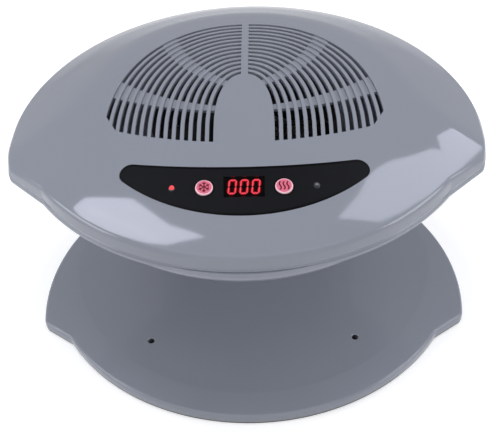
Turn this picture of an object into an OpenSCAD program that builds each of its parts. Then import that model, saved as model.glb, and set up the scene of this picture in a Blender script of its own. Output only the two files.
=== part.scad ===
// Two-hand nail dryer: a saucer-shaped fan head on a rear column over a flat hand plate.
// Air enters through the arched grille, passes the fan and the heater, and leaves
// downwards through the round outlet onto the hands.
// Millimetres. +Z is up and the user sits at -Y. The origin lies on the floor, below the
// middle of the overall box. Most of the construction is drawn about the fan axis.

/* [Plan] */
// Radius of the round outline that head and base share
body_r = 170; // [166:1:180]
// How far the centre of the head's front arc lies behind the fan axis
head_step = 34; // [30:1:38]
// How far the centre of the base's front arc lies behind the fan axis
base_step = 47.4; // [42:0.2:52]
// Slope of the head's shoulder lines in plan
head_shoulder_angle = 43.8; // [41:0.2:46]
// How deep the shoulder lines cut into the head's round
head_shoulder_cut = 27.7; // [26:0.1:29]
// Slope of the base's shoulder lines in plan
base_shoulder_angle = 36.4; // [34:0.2:38]
// How deep the shoulder lines cut into the base's round
base_shoulder_cut = 50.6; // [49:0.1:52]
// Rounding of the ears, where shoulder and rear arc meet
ear_r = 9; // [5:0.5:12]
// Hollow rounding where shoulder and front arc meet
shoulder_fillet = 8; // [4:0.5:12]

/* [Head] */
// Height of the dome's highest point
head_top = 216.5; // [214:0.5:220]
// Height of the dome's middle above the rear crease
dome_rise = 28; // [26:0.5:31]
// Height of the rear crease above the upper cover's lower edge
crease_rise = 11.5; // [10:0.5:13]
// Height of the upright edge where the skirt meets the seam
edge_h = 1; // [0.8:0.1:1.5]
// Radius of curvature of the deck
deck_curve = 580; // [540:5:640]
// Radius of curvature of the dome's front
front_curve = 460; // [430:5:500]
// How far the front's curve, carried on, would peak above the deck
front_rise = 4.57; // [3.8:0.01:5.6]
// Width in plan of the skirt between deck and crease
skirt_w = 32; // [30:0.5:34]
// Width in plan of the slope outside the crease
edge_slope_w = 18.5; // [17:0.5:20]
// Direction, from the right, at which the rear crease runs straight on to the ear
crease_turn = 15.5; // [13:0.5:18]
// Wall thickness of the head's covers
cover_wall = 3; // [2.6:0.1:3.4]
// Open joint between the two covers
seam_gap = 0.7; // [0.4:0.1:1]

/* [Grille] */
// Number of arched slots
slot_count = 14; // [8:1:14]
// Half width of the innermost arch
arch_half_w = 22.2; // [20:0.2:24]
// Height of the innermost arch above its springing line
arch_rise = 59.2; // [57:0.2:61]
// Step of the arches' half width
arch_w_step = 5.69; // [5.4:0.01:5.9]
// Step of the arches' height
arch_rise_step = 5.49; // [5.2:0.01:5.7]
// How far the springing line lies in front of the fan axis
arch_front = 33.3; // [31:0.1:35]
// Squareness of the arches, 2 is an ellipse
arch_power = 2.2; // [2:0.05:2.4]
// Width of a slot
slot_w = 2.9; // [2.2:0.1:3.4]
// Width of the rib on the centre line
spine_w = 7.2; // [6:0.2:9]
// Depth of the ribs' tops below the deck
rib_drop = 1.2; // [0.6:0.1:1.6]

/* [Control panel] */
// Distance of the display's centre in front of the fan axis
panel_front = 85.3; // [84:0.1:87]
// Radius of the panel's lower edge
panel_low_r = 115; // [112:0.5:117]
// Distance of the lower edge in front of the fan axis
panel_low_front = 106.4; // [105:0.1:108]
// Radius of the panel's upper edge
panel_high_r = 290; // [270:5:310]
// Distance of the upper edge in front of the fan axis
panel_high_front = 70.5; // [69:0.1:72]
// Rounding of the panel's corners
panel_corner = 5; // [3:0.5:6]
// Thickness of the panel
panel_t = 1.5; // [1.2:0.1:1.8]
// Width of the display window
window_w = 26.8; // [25:0.2:28]
// Height of the display window
window_h = 15.8; // [15:0.2:17]
// Distance of each button from the middle
button_x = 26.2; // [25:0.2:28]
// Radius of a button
button_r = 5.9; // [5:0.1:6.2]
// Travel of a button
button_travel = 0.5; // [0.3:0.05:0.6]
// Distance of each lamp from the middle
lamp_x = 47.6; // [46:0.2:49]
// Radius of a lamp
lamp_r = 1.5; // [1.3:0.1:1.7]

/* [Bowl and outlet] */
// How far the bowl stands proud of the head's front
bowl_proud = 2; // [0.5:0.5:3]
// Depth of the bowl's curve
bowl_depth = 39; // [37:0.5:41]
// Inner radius of the duct round the fan
duct_r = 63; // [62:0.5:65]
// Clearance between the duct and the outlet's collar
duct_gap = 0.6; // [0.4:0.1:1]
// Width of the ledge that carries the outlet's guard
outlet_ledge = 3; // [2.5:0.5:4]
// Thickness of the outlet's rim and of its guard
outlet_t = 2.4; // [2:0.1:2.8]

/* [Fan] */
// Gap between the blade tips and the duct
tip_gap = 2; // [1:0.5:3]
// Number of blades
blade_count = 7; // [5:1:9]
// Height of the impeller
blade_h = 13; // [11:0.5:15]
// Radius of the impeller's hub
hub_r = 19; // [17:0.5:21]
// Radius of the motor
motor_r = 17; // [15:0.5:18]
// Height of the motor's can
motor_h = 20; // [18:0.5:22]
// Radius of the motor's shaft
shaft_r = 1.5; // [1.2:0.1:2]

/* [Column] */
// How far the column's back lies inside the head's round
neck_inset = 14; // [12:0.5:16]
// Depth of the column from its front to its back
neck_depth = 40; // [38:0.5:42]
// Half of the angle that the column spans
neck_half = 36; // [34:0.5:38]
// Wall thickness of the column
neck_wall = 3; // [2.5:0.1:3.5]
// Height of the mains switch
switch_z = 128; // [120:1:134]
// Height of the cord inlet
inlet_z = 30; // [28:0.5:34]
// Radius of the cord that the inlet takes
cord_r = 3.5; // [2.5:0.1:4]

/* [Base] */
// Height of the base's raised edge
base_top = 9.5; // [9:0.1:11]
// Height of the rubber feet
foot_h = 2; // [1.5:0.1:2.5]
// Radius of a rubber foot
foot_r = 9; // [7:0.5:10]
// Depth of the dish that the hands lie in
dish_depth = 2; // [1:0.1:2.2]
// Width of the border round the dish's back
border_back = 20; // [18:0.5:23]
// Width of the border round the dish's front
border_front = 26.3; // [24:0.1:29]
// Wall thickness of the hand plate
base_wall = 1.8; // [1.6:0.1:2]
// Thickness of the closing plate
bottom_t = 1.6; // [1.2:0.1:1.8]
// Sideways distance of the base's sensors
sensor_x = 81; // [78:0.5:84]
// Distance of the base's sensors in front of the fan axis
sensor_front = 44.3; // [42:0.1:46]

/* [Hidden] */
$fn = 96;

// Fits
fit = 0.3;            // between curved faces of separate pieces
run_fit = 0.05;       // between a shaft and its bore
slide_fit = 0.35;     // round a button
panel_fit = 0.1;      // under and round the flat trim of the panel

// Sizes that follow the round outline
bowl_r = body_r - head_step + bowl_proud;
crease_r = body_r - edge_slope_w;
deck_r = crease_r - skirt_w;
neck_outer_r = body_r - neck_inset;
neck_inner_r = neck_outer_r - neck_depth;
dish_back_r = body_r - border_back;
dish_front_r = body_r - border_front;

// The bowl or the front arc, whichever reaches further, and the rear arc bound the depth
front_reach = max(bowl_r, body_r - head_step);
axis_y = -(body_r - front_reach) / 2;
arc_step = 3;
far = 400;
cutter = 30;          // depth of a cut square to the panel

// Dome: two spheres and a skirt, all set by the heights above
crease_z = head_top - dome_rise;
seam_z = crease_z - crease_rise;
deck_centre_z = head_top - deck_curve;
front_centre_z = head_top + front_rise - front_curve;
deck_edge_z = deck_centre_z + sqrt(deck_curve * deck_curve - deck_r * deck_r);
rim_z = seam_z - seam_gap;
bowl_centre_z = rim_z - 0.8;
inner_bowl_r = bowl_r - cover_wall;
inner_bowl_depth = bowl_depth - cover_wall;

// Each curved rib of the grille lies inside one arc and outside another:
// [centre, radius, inner centre, inner radius]
side_ribs = [[[-38.4, 101], 103.9, [-60.4, 105.7], 114.4],
             [[2.4, 147], 164.1, [-8.7, 119.6], 133.6]];
arch_leg = 60;
slot_front_r = 194.7;
slot_front_y = 145.7;
// The outermost slots stop short of that arc, at slanted lines that meet this far in front
slot_corner_y = 205;

// Frame of the control panel: on the front sphere, in the middle plane
panel_radius = panel_front + head_step;
panel_tilt = asin(panel_radius / front_curve);
panel_recess = panel_t + panel_fit;
board_w = 112;
board_h = 22;
board_t = 1.6;
display_w = 22.5;
display_h = 14;
display_t = 8;
display_top = -cover_wall + 0.9;
board_top = display_top - display_t;
button_drop = button_x * button_x / (2 * front_curve);
button_proud = 0.8;
button_flange_t = 1;
button_flange_r = button_r + 1.2;
button_flange_top = -button_drop - cover_wall - 0.65;
switch_h = 3.6;
switch_side = 6;
lamp_v = 1.9;
lamp_drop = lamp_x * lamp_x / (2 * front_curve);
lamp_sink = 0.6;
lamp_flange_r = lamp_r + 0.4;
lamp_flange_t = 1;
lamp_leg = 0.5;
lamp_leg_x = 1.27;
stem_r = 1.75;
board_screw_x = [-board_w / 2 + 4, board_w / 2 - 4];
board_screw_v = [-board_h / 2 + 3.5, board_h / 2 - 3.5];

// Screws: pan heads and shanks
screw_r = 1.45;
screw_pilot = 1.5;
screw_hole = 1.75;
screw_head_r = 2.8;
screw_head_h = 1.6;
boss_r = 4;
head_screw_angles = [-18, 22, 46, 134, 158, 198];
head_screw_inset = 24;
head_screw_sink = 1.4;
head_screw_l = 8;
head_screw_r = body_r - head_screw_inset;
rim_t = cover_wall;
rim_under = rim_z - rim_t;
lip_t = 1.6;
lip_h = 3;

// Outlet, heater and fan, stacked upwards from the outlet's rim
collar_t = 2.4;
outlet_seat_r = duct_r - duct_gap - collar_t;
outlet_r = outlet_seat_r - outlet_ledge;
outlet_z = bowl_centre_z - bowl_depth * sqrt(1 - pow(outlet_r / bowl_r, 2)) - 1;
collar_top = outlet_z + 11;
guard_z = outlet_z + outlet_t;
guard_ring_step = 7;
guard_ring_w = 4;
guard_hub_r = 10;
guard_bar_w = 3;
heater_z = guard_z + outlet_t + 0.3;
heater_h = 13;
heater_t = 1;
coil_wire_r = 1.3;
coil_step = 12;
coil_rings = [for (k = [2:-1:0]) outlet_r - 3 - k * coil_step];
coil_levels = [3.2, 9.2];
bracket_z = heater_z + heater_h + 3;
bracket_t = 2.5;
motor_z = bracket_z + bracket_t;
motor_top = motor_z + motor_h;
impeller_z = motor_top + 1.5;
shaft_z = motor_z + 4.3;
duct_t = 2.2;
duct_flange = 2;
duct_bottom = bowl_centre_z
              - inner_bowl_depth * sqrt(1 - pow((duct_r + duct_t) / inner_bowl_r, 2)) + fit;
duct_top = impeller_z + blade_h + 2;
cutout_w = 16;
cutout_h = 8;
cutout_t = 6;
lug_angles = [30, 150, 270];
lug_h = 5;
lug_w = 10;
lug_in = 9;
lug_screw_r = duct_r - 5;
arm_w = 8;
arm_t = bracket_t - 0.4;
motor_screw_r = motor_r - 6;
motor_screw_angles = [90, 270];
motor_boss_r = 6;

// Impeller: cambered blades, pitched to the plane of rotation
blade_t = 1.6;
blade_pitch = 38;
blade_camber_r = 40;
blade_camber_angle = 36;
hub_t = 2;
hub_sleeve_r = 6;

// Sensors: the head's look down at the base's
sensor_r = 1.5;
sensor_seat_z = bowl_centre_z - inner_bowl_depth
                * sqrt(1 - (sensor_x * sensor_x + sensor_front * sensor_front)
                           / (inner_bowl_r * inner_bowl_r)) + 5;

// Column
neck_bottom = base_top;
neck_top = rim_under;
back_half = neck_half - 6;
back_low = neck_bottom + 7;
back_high = neck_top - 9;
ledge = 4;
neck_side = 1.4;      // degrees that a side wall takes
neck_boss_h = 22;
column_boss_h = 14;
neck_screw_l = 12;
back_screw_l = 5.5;
back_screw_sink = 1.6;
neck_screw_angles = [62, 80, 100, 118];
neck_screw_r = neck_outer_r - 2 * neck_wall - boss_r + 1;
back_screw_angles = [90 - back_half + 3, 90 + back_half - 3];
back_screw_z = [back_low + 9.5, back_high - 9.5];
power_y = neck_inner_r + neck_wall + 3;
power_w = 84;
power_z = 44;
power_h = 62;
power_screw_l = 6;
power_screw_x = [-power_w / 2 + 5, power_w / 2 - 5];
power_screw_z = [power_z + 5, power_z + power_h - 5];
power_boss_h = power_y - 0.3
               - sqrt(pow(neck_inner_r, 2) - pow(power_screw_x[1] - boss_r + 1, 2));
core_w = 36;
core_d = 22;
core_bar = 8;
core_window = 12;
core_z = power_z + 8;
winding_w = 24;
rocker_w = 13;
rocker_h = 19;
bezel = 1.6;
housing_wall = 1.4;
housing_l = 14;
rocker_pin_y = 1;
rocker_pin_r = 1;
gland_r = cord_r + 2.4;
gland_l = 11;
gland_head = 2.5;
pad_y = neck_outer_r + fit;

// Base
base_low = foot_h;
dish_z = base_top - dish_depth;
hollow_top = dish_z - base_wall;
bottom_top = base_low + bottom_t;
pad_half = neck_half + 8;
base_edge_inset = 12;
base_screw_l = 4.2;
base_front_angles = [-108, -72, -44, -136];
base_rear_angles = [8, 44, 136, 172];
column_screw_angles = [62, 118];
sensor_board_w = 16;
sensor_board_d = 10;
sensor_board_t = 0.8;
foot_inset = 24;
foot_front_angles = [-62, -118];
foot_rear_angles = [10, 62, 118, 170];

// ---------- plan outlines ----------

// Points of an arc about centre c from angle a to angle b
function arc(c, r, a, b, step = arc_step) =
    let (n = max(1, ceil(abs(b - a) / step)))
    [for (i = [0:n]) c + r * [cos(a + (b - a) * i / n), sin(a + (b - a) * i / n)]];

// Right half of an outline: front arc, shoulder fillet, ear, rear arc.
// s is the front arc's step, a and d are the shoulder line's slope and distance,
// and i insets the whole outline.
function half_outline(s, a, d, i) =
    let (R = body_r - i,
         e = max(ear_r - i, 0.5),
         f = shoulder_fillet + i,
         D = d - i,
         across = [sin(a), -cos(a)],
         along = [cos(a), sin(a)],
         ear = (D - e) * across + sqrt(pow(R - e, 2) - pow(D - e, 2)) * along,
         q = D + f + s * cos(a),
         fil = (D + f) * across + (s * sin(a) + sqrt(pow(R + f, 2) - q * q)) * along,
         join = atan2(fil[1] - s, fil[0]))
    concat(arc([0, s], R, -90, join),
           arc(fil, f, 180 + join, a + 90, 12),
           arc(ear, e, a - 90, atan2(ear[1], ear[0]), 12),
           arc([0, 0], R, atan2(ear[1], ear[0]), 90));

function outline(s, a, d, i) =
    let (right = half_outline(s, a, d, i), n = len(right))
    concat(right, [for (k = [n - 2:-1:1]) [-right[k][0], right[k][1]]]);

module head_outline(i = 0)
    polygon(outline(head_step, head_shoulder_angle, body_r - head_shoulder_cut, i));

module base_outline(i = 0)
    polygon(outline(base_step, base_shoulder_angle, body_r - base_shoulder_cut, i));

// ---------- helpers ----------

// From the fan axis to the part's origin
module placed() translate([0, axis_y, 0]) children();

// Frame on the control panel: x across, y up the slope, z out of the panel
module on_panel()
    translate([0, head_step, front_centre_z])
        rotate([panel_tilt, 0, 0])
            translate([0, 0, front_curve])
                children();

module at_polar(r, angles) for (a = angles) rotate([0, 0, a]) translate([r, 0, 0]) children();

// Places set in from the base's edge by inset, along its front and its rear arc
module along_base(inset, front_angles, rear_angles) {
    translate([0, base_step, 0]) at_polar(body_r - inset, front_angles) children();
    at_polar(body_r - inset, rear_angles) children();
}

module ring(ro, ri, h) difference() {
    cylinder(r = ro, h = h);
    translate([0, 0, -1]) cylinder(r = ri, h = h + 2);
}

// Part of a ring round the fan axis, centred on the back
module sector(ro, ri, half, z0, z1)
    translate([0, 0, z0])
        rotate([0, 0, 90 - half])
            rotate_extrude(angle = 2 * half)
                translate([ri, 0])
                    square([ro - ri, z1 - z0]);

// Pan-head screw whose shank points down from z = 0
module screw(l) {
    translate([0, 0, -l]) cylinder(r = screw_r, h = l);
    cylinder(r = screw_head_r, h = screw_head_h);
}

// ---------- head ----------

// Section of skirt and chamfer, from x0 outwards, inset by i
module skirt_profile(x0, i) {
    slope = atan2(deck_edge_z - crease_z, crease_r - deck_r);
    edge_slope = atan2(crease_z - seam_z - edge_h, body_r - crease_r);
    drop = i / cos(slope);
    edge_drop = i / cos(edge_slope);
    bend = [crease_r - i * sin((slope + edge_slope) / 2), crease_z - i];
    out = 30;
    back = 20;
    polygon([[x0, 0], [body_r + out, 0],
             [body_r + out, seam_z + edge_h - edge_drop - out * tan(edge_slope)],
             bend,
             [deck_r - back, deck_edge_z + back * tan(slope) - drop],
             [deck_r - back, far], [x0, far]]);
}

// Skirt solid: revolved round the back, run straight on towards each ear
module skirt_solid(i) {
    rotate_extrude() skirt_profile(0, i);
    for (side = [0, 1])
        mirror([side, 0, 0])
            rotate([0, 0, crease_turn])
                rotate([90, 0, 0])
                    linear_extrude(far) skirt_profile(-deck_r, i);
}

// The head's outer form above z0, inset by i
module dome(i, z0) intersection() {
    translate([0, 0, z0]) linear_extrude(head_top - z0 + 1) head_outline(i);
    translate([0, 0, deck_centre_z]) sphere(r = deck_curve - i, $fn = 256);
    translate([0, head_step, front_centre_z]) sphere(r = front_curve - i, $fn = 256);
    skirt_solid(i);
}

// One arch of the grille, a super-ellipse on straight legs
module arch(k, grow) {
    a = arch_half_w + arch_w_step * k + grow;
    b = arch_rise + arch_rise_step * k + grow;
    p = 2 / arch_power;
    polygon(concat(
        [for (t = [0:7.5:180])
            [a * sign(cos(t)) * pow(abs(cos(t)), p), -arch_front + b * pow(abs(sin(t)), p)]],
        [[-a, -arch_front - arch_leg], [a, -arch_front - arch_leg]]));
}

module slot_rings()
    for (k = [0:slot_count - 1])
        difference() {
            arch(k, slot_w / 2);
            arch(k, -slot_w / 2);
        }

// Disc with straight facets, so that its cuts through the dome stay plane
module disc(c, r) polygon(arc(c, r, 0, 356, 4));

// The slots' front ends lie on one wide arc, parallel to the panel
module slot_field() intersection() {
    disc([0, slot_front_y], slot_front_r);
    polygon([[0, -slot_corner_y], [far, 2 * far - slot_corner_y], [-far, 2 * far - slot_corner_y]]);
}

// Curved diagonal ribs and the straight spine between the slot sectors
module grille_ribs() {
    translate([-spine_w / 2, 0]) square([spine_w, body_r]);
    for (side = [0, 1])
        mirror([side, 0])
            intersection() {
                translate([0, -head_step]) square(body_r);
                union() {
                    for (rib = side_ribs)
                        difference() {
                            disc(rib[0], rib[1]);
                            disc(rib[2], rib[3]);
                        }
                }
            }
}

module grille_cut() difference() {
    translate([0, 0, crease_z]) linear_extrude(far - crease_z)
        intersection() {
            slot_rings();
            slot_field();
        }
    intersection() {
        linear_extrude(far) grille_ribs();
        translate([0, 0, deck_centre_z]) sphere(r = deck_curve - rib_drop, $fn = 256);
    }
}

// Crescent of the control panel
module panel_shape(grow) {
    low_y = panel_low_r - panel_low_front;
    high_y = panel_high_r - panel_high_front;
    offset(r = panel_corner + grow, $fn = 32) offset(delta = -panel_corner)
        difference() {
            translate([0, low_y]) circle(r = panel_low_r);
            translate([0, high_y]) circle(r = panel_high_r, $fn = 180);
            translate([-far / 2, -head_step - 30]) square([far, far]);
        }
}

module upper_cover() placed() color("#8d94a3") difference() {
    union() {
        difference() {
            dome(0, seam_z);
            dome(cover_wall, seam_z - 1);
        }
        intersection() {
            dome(cover_wall / 2, seam_z);
            at_polar(head_screw_r, head_screw_angles)
                cylinder(r = boss_r, h = far);
        }
        intersection() {
            dome(cover_wall / 2, seam_z);
            on_panel()
                for (u = board_screw_x, v = board_screw_v)
                    translate([u, v, board_top]) cylinder(r = boss_r - 1, h = 20);
        }
    }
    grille_cut();
    difference() {
        linear_extrude(far) panel_shape(fit);
        translate([0, head_step, front_centre_z])
            sphere(r = front_curve - panel_recess, $fn = 256);
    }
    on_panel() {
        cube([display_w + 2 * fit, display_h + 2 * fit, cutter], center = true);
        for (side = [-1, 1]) {
            translate([side * button_x, 0, -cutter / 2])
                cylinder(r = button_r + slide_fit, h = cutter);
            translate([side * lamp_x, lamp_v, -cutter / 2]) cylinder(r = lamp_r + fit, h = cutter);
        }
        for (u = board_screw_x, v = board_screw_v)
            translate([u, v, board_top - 1]) cylinder(r = screw_pilot, h = 5);
    }
    at_polar(head_screw_r, head_screw_angles)
        translate([0, 0, seam_z - 1]) cylinder(r = screw_pilot, h = head_screw_l + 1);
}

// Half section of the bowl
module bowl_section(r, depth, top_z)
    polygon(concat(
        [for (t = [0:5:90]) [r * sin(t), bowl_centre_z - depth * cos(t)]],
        [[r, top_z], [0, top_z]]));

module bowl_form(grow, top_z)
    rotate_extrude() bowl_section(bowl_r + grow, bowl_depth + grow, top_z);

module lower_cover() placed() color("#868d9c") difference() {
    union() {
        translate([0, 0, rim_under]) linear_extrude(rim_t) head_outline(fit);
        intersection() {
            bowl_form(0, rim_z);
            translate([0, 0, outlet_z]) linear_extrude(far) head_outline(-2);
        }
        translate([0, 0, outlet_z]) cylinder(r = outlet_seat_r + collar_t, h = outlet_t + 2);
        difference() {
            intersection() {
                dome(cover_wall + fit, rim_z - 1);
                cylinder(r = far, h = rim_z + lip_h);
            }
            linear_extrude(far) head_outline(cover_wall + fit + lip_t);
        }
    }
    difference() {
        rotate_extrude() bowl_section(inner_bowl_r, inner_bowl_depth, far);
        ring(outlet_seat_r + collar_t, outlet_seat_r, collar_top);
        for (side = [-1, 1])
            translate([side * sensor_x, -sensor_front, 0]) cylinder(r = boss_r, h = sensor_seat_z);
    }
    translate([0, 0, outlet_z - 1]) cylinder(r = outlet_r, h = far);
    translate([0, 0, guard_z]) cylinder(r = outlet_seat_r, h = far);
    for (side = [-1, 1])
        translate([side * sensor_x, -sensor_front, 0]) cylinder(r = sensor_r + fit, h = far);
    at_polar(head_screw_r, head_screw_angles) {
        cylinder(r = screw_hole, h = far);
        cylinder(r = screw_head_r + fit, h = rim_under + head_screw_sink);
    }
    at_polar(neck_screw_r, neck_screw_angles) cylinder(r = screw_hole, h = far);
}

module control_panel() placed() color("#15161a") difference() {
    intersection() {
        linear_extrude(far) panel_shape(0);
        difference() {
            translate([0, head_step, front_centre_z]) sphere(r = front_curve - panel_fit, $fn = 256);
            translate([0, head_step, front_centre_z])
                sphere(r = front_curve - panel_recess, $fn = 256);
        }
    }
    on_panel() {
        cube([window_w + 2 * panel_fit, window_h + 2 * panel_fit, cutter], center = true);
        for (side = [-1, 1]) {
            translate([side * button_x, 0, -cutter / 2])
                cylinder(r = button_r + slide_fit, h = cutter);
            translate([side * lamp_x, lamp_v, -cutter / 2]) cylinder(r = lamp_r + fit, h = cutter);
        }
    }
}

module display_window() placed() color("#3a0d12") on_panel()
    translate([-window_w / 2, -window_h / 2, -panel_recess + panel_fit])
        cube([window_w, window_h, panel_t - panel_fit]);

module digit_display() placed() color("#1a0a0c") on_panel()
    translate([-display_w / 2, -display_h / 2, board_top])
        cube([display_w, display_h, display_t - panel_fit]);

module button_cap() on_panel() translate([button_x, 0, 0]) {
    translate([0, 0, button_flange_top - 0.1])
        cylinder(r = button_r, h = button_proud - button_drop - button_flange_top + 0.1);
    translate([0, 0, button_flange_top - button_flange_t])
        cylinder(r = button_flange_r, h = button_flange_t);
    stem_low = board_top + switch_h + button_travel + 0.1;
    translate([0, 0, stem_low]) cylinder(r = stem_r, h = button_flange_top - stem_low);
}

module cool_button() placed() color("#e9a0ad") mirror([1, 0, 0]) button_cap();

module hot_button() placed() color("#e9a0ad") button_cap();

module lamp() on_panel() translate([lamp_x, lamp_v, 0]) {
    base_z = -lamp_drop - cover_wall - 2.2;
    translate([0, 0, base_z]) cylinder(r = lamp_flange_r, h = lamp_flange_t);
    translate([0, 0, base_z]) cylinder(r = lamp_r, h = -lamp_drop - base_z - lamp_sink);
    translate([0, 0, -lamp_drop - lamp_sink]) intersection() {
        sphere(r = lamp_r);
        translate([0, 0, -0.2]) cylinder(r = 2 * lamp_r, h = 2 * lamp_r);
    }
    for (side = [-1, 1])
        translate([side * lamp_leg_x - lamp_leg / 2, -lamp_leg / 2, board_top])
            cube([lamp_leg, lamp_leg, base_z - board_top + 0.1]);
}

module cool_lamp() placed() color("#e02a2a") mirror([1, 0, 0]) lamp();

module hot_lamp() placed() color("#5a1a1e") lamp();

module control_board() placed() color("#2c5a3a") on_panel() difference() {
    translate([-board_w / 2, -board_h / 2, board_top - board_t])
        cube([board_w, board_h, board_t]);
    for (u = board_screw_x, v = board_screw_v)
        translate([u, v, board_top - board_t - 1]) cylinder(r = screw_hole, h = board_t + 2);
}

module tact_switches() placed() color("#303236") on_panel()
    for (side = [-1, 1])
        translate([side * button_x, 0, board_top]) {
            translate([-switch_side / 2, -switch_side / 2, 0])
                cube([switch_side, switch_side, switch_h - 0.8]);
            cylinder(r = stem_r - run_fit, h = switch_h);
        }

module board_screws() placed() color("silver") on_panel()
    for (u = board_screw_x, v = board_screw_v)
        translate([u, v, board_top - board_t]) rotate([180, 0, 0]) screw(board_t + 3.5);

module head_screws() placed() color("silver")
    at_polar(head_screw_r, head_screw_angles)
        translate([0, 0, rim_under + head_screw_sink]) rotate([180, 0, 0]) screw(head_screw_l);

// ---------- air path ----------

module outlet_grille() placed() color("#33363c") translate([0, 0, guard_z])
    difference() {
        cylinder(r = outlet_seat_r - fit, h = outlet_t - 0.1);
        difference() {
            for (r = [guard_hub_r:guard_ring_step:outlet_r - guard_ring_w])
                translate([0, 0, -1]) ring(r + guard_ring_w, r, outlet_t + 2);
            for (a = [0, 60, 120])
                rotate([0, 0, a]) cube([2 * outlet_seat_r, guard_bar_w, 4 * outlet_t], center = true);
        }
    }

module fan_duct() placed() color("#2e3034") {
    difference() {
        union() {
            translate([0, 0, duct_bottom]) cylinder(r = duct_r + duct_t, h = duct_top - duct_bottom);
            translate([0, 0, duct_top - duct_flange])
                cylinder(r = duct_r + duct_t + duct_flange, h = duct_flange);
        }
        translate([0, 0, duct_bottom - 1]) cylinder(r = duct_r, h = duct_top - duct_bottom + 2);
    }
    for (a = lug_angles)
        rotate([0, 0, a])
            difference() {
                intersection() {
                    translate([duct_r - lug_in, -lug_w / 2, bracket_z - lug_h])
                        cube([lug_in + duct_t, lug_w, lug_h]);
                    cylinder(r = duct_r + 1, h = far);
                }
                translate([lug_screw_r, 0, bracket_z - lug_h - 1])
                    cylinder(r = screw_pilot, h = lug_h + 2);
            }
}

module motor_bracket() placed() color("#b8bcc0") translate([0, 0, bracket_z]) difference() {
    union() {
        cylinder(r = motor_r + 4, h = bracket_t);
        at_polar(motor_r + 2, lug_angles)
            translate([0, -arm_w / 2, 0]) cube([duct_r - motor_r - 2.6, arm_w, arm_t]);
    }
    translate([0, 0, -1]) cylinder(r = motor_boss_r - 1, h = bracket_t + 2);
    at_polar(lug_screw_r, lug_angles)
        translate([0, 0, -1]) cylinder(r = screw_hole, h = bracket_t + 2);
    at_polar(motor_screw_r, motor_screw_angles)
        translate([0, 0, -1]) cylinder(r = screw_hole, h = bracket_t + 2);
}

module fan_motor() placed() color("#9a9da1") translate([0, 0, motor_z]) difference() {
    union() {
        cylinder(r = motor_r, h = motor_h - 2);
        cylinder(r = motor_boss_r, h = motor_h);
    }
    translate([0, 0, 4]) cylinder(r = shaft_r + run_fit, h = motor_h);
    at_polar(motor_screw_r, motor_screw_angles)
        translate([0, 0, -1]) cylinder(r = screw_pilot, h = 6);
}

module motor_shaft() placed() color("silver")
    translate([0, 0, shaft_z]) cylinder(r = shaft_r, h = impeller_z + blade_h - 4 - shaft_z);

// Cambered blades: slices of a tilted tube, cut off by hub and tip
module fan_impeller() placed() color("#34363b") translate([0, 0, impeller_z]) {
    tip_r = duct_r - tip_gap;
    difference() {
        cylinder(r = hub_r, h = blade_h);
        translate([0, 0, -1]) cylinder(r = shaft_r + run_fit, h = blade_h - 2);
        translate([0, 0, -1]) ring(hub_r - hub_t, hub_sleeve_r, blade_h - hub_t + 1);
    }
    intersection() {
        ring(tip_r, hub_r - 0.5, blade_h);
        for (k = [0:blade_count - 1])
            rotate([0, 0, 360 * k / blade_count])
                translate([hub_r - hub_t, 0, blade_h / 2])
                    rotate([-blade_pitch, 0, 0])
                        translate([0, 0, -blade_camber_r])
                            rotate([0, 90, 0])
                                rotate([0, 0, 180 - blade_camber_angle / 2])
                                    rotate_extrude(angle = blade_camber_angle)
                                        translate([blade_camber_r - blade_t / 2, 0])
                                            square([blade_t, tip_r]);
    }
}

module motor_screws() placed() color("silver")
    at_polar(motor_screw_r, motor_screw_angles)
        translate([0, 0, bracket_z]) rotate([180, 0, 0]) screw(bracket_t + 4);

module bracket_screws() placed() color("silver")
    at_polar(lug_screw_r, lug_angles)
        translate([0, 0, bracket_z + arm_t]) screw(bracket_t + lug_h - 1);

module heater_rings(grow)
    for (r = coil_rings, z = coil_levels)
        translate([0, 0, heater_z + z])
            rotate_extrude() translate([r, 0]) circle(r = coil_wire_r + grow, $fn = 24);

// Crossed insulating sheets with a notch for every turn of the coil
module heater_frame() placed() color("#c9b98f") difference() {
    for (a = [45, 135])
        rotate([0, 0, a])
            translate([-(outlet_seat_r - fit), -heater_t / 2, heater_z])
                cube([2 * (outlet_seat_r - fit), heater_t, heater_h]);
    heater_rings(fit);
}

module heater_coil() placed() color("#8c8478") heater_rings(0);

module thermal_cutout() placed() color("#a9a49a")
    rotate([0, 0, -90])
        translate([duct_r + duct_t + fit, -cutout_w / 2, duct_bottom + 6]) {
            cube([cutout_t, cutout_w, cutout_h]);
            translate([cutout_t, cutout_w / 2, cutout_h / 2])
                rotate([0, 90, 0]) cylinder(r = cutout_h / 2 - 1, h = 2);
        }

module head_sensors() placed() color("#202226")
    for (side = [-1, 1])
        translate([side * sensor_x, -sensor_front, 0]) {
            translate([0, 0, sensor_seat_z - 7]) cylinder(r = sensor_r, h = 7.2);
            translate([0, 0, sensor_seat_z + 0.1]) cylinder(r = sensor_r + 1, h = 1.5);
        }

// ---------- column ----------

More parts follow.
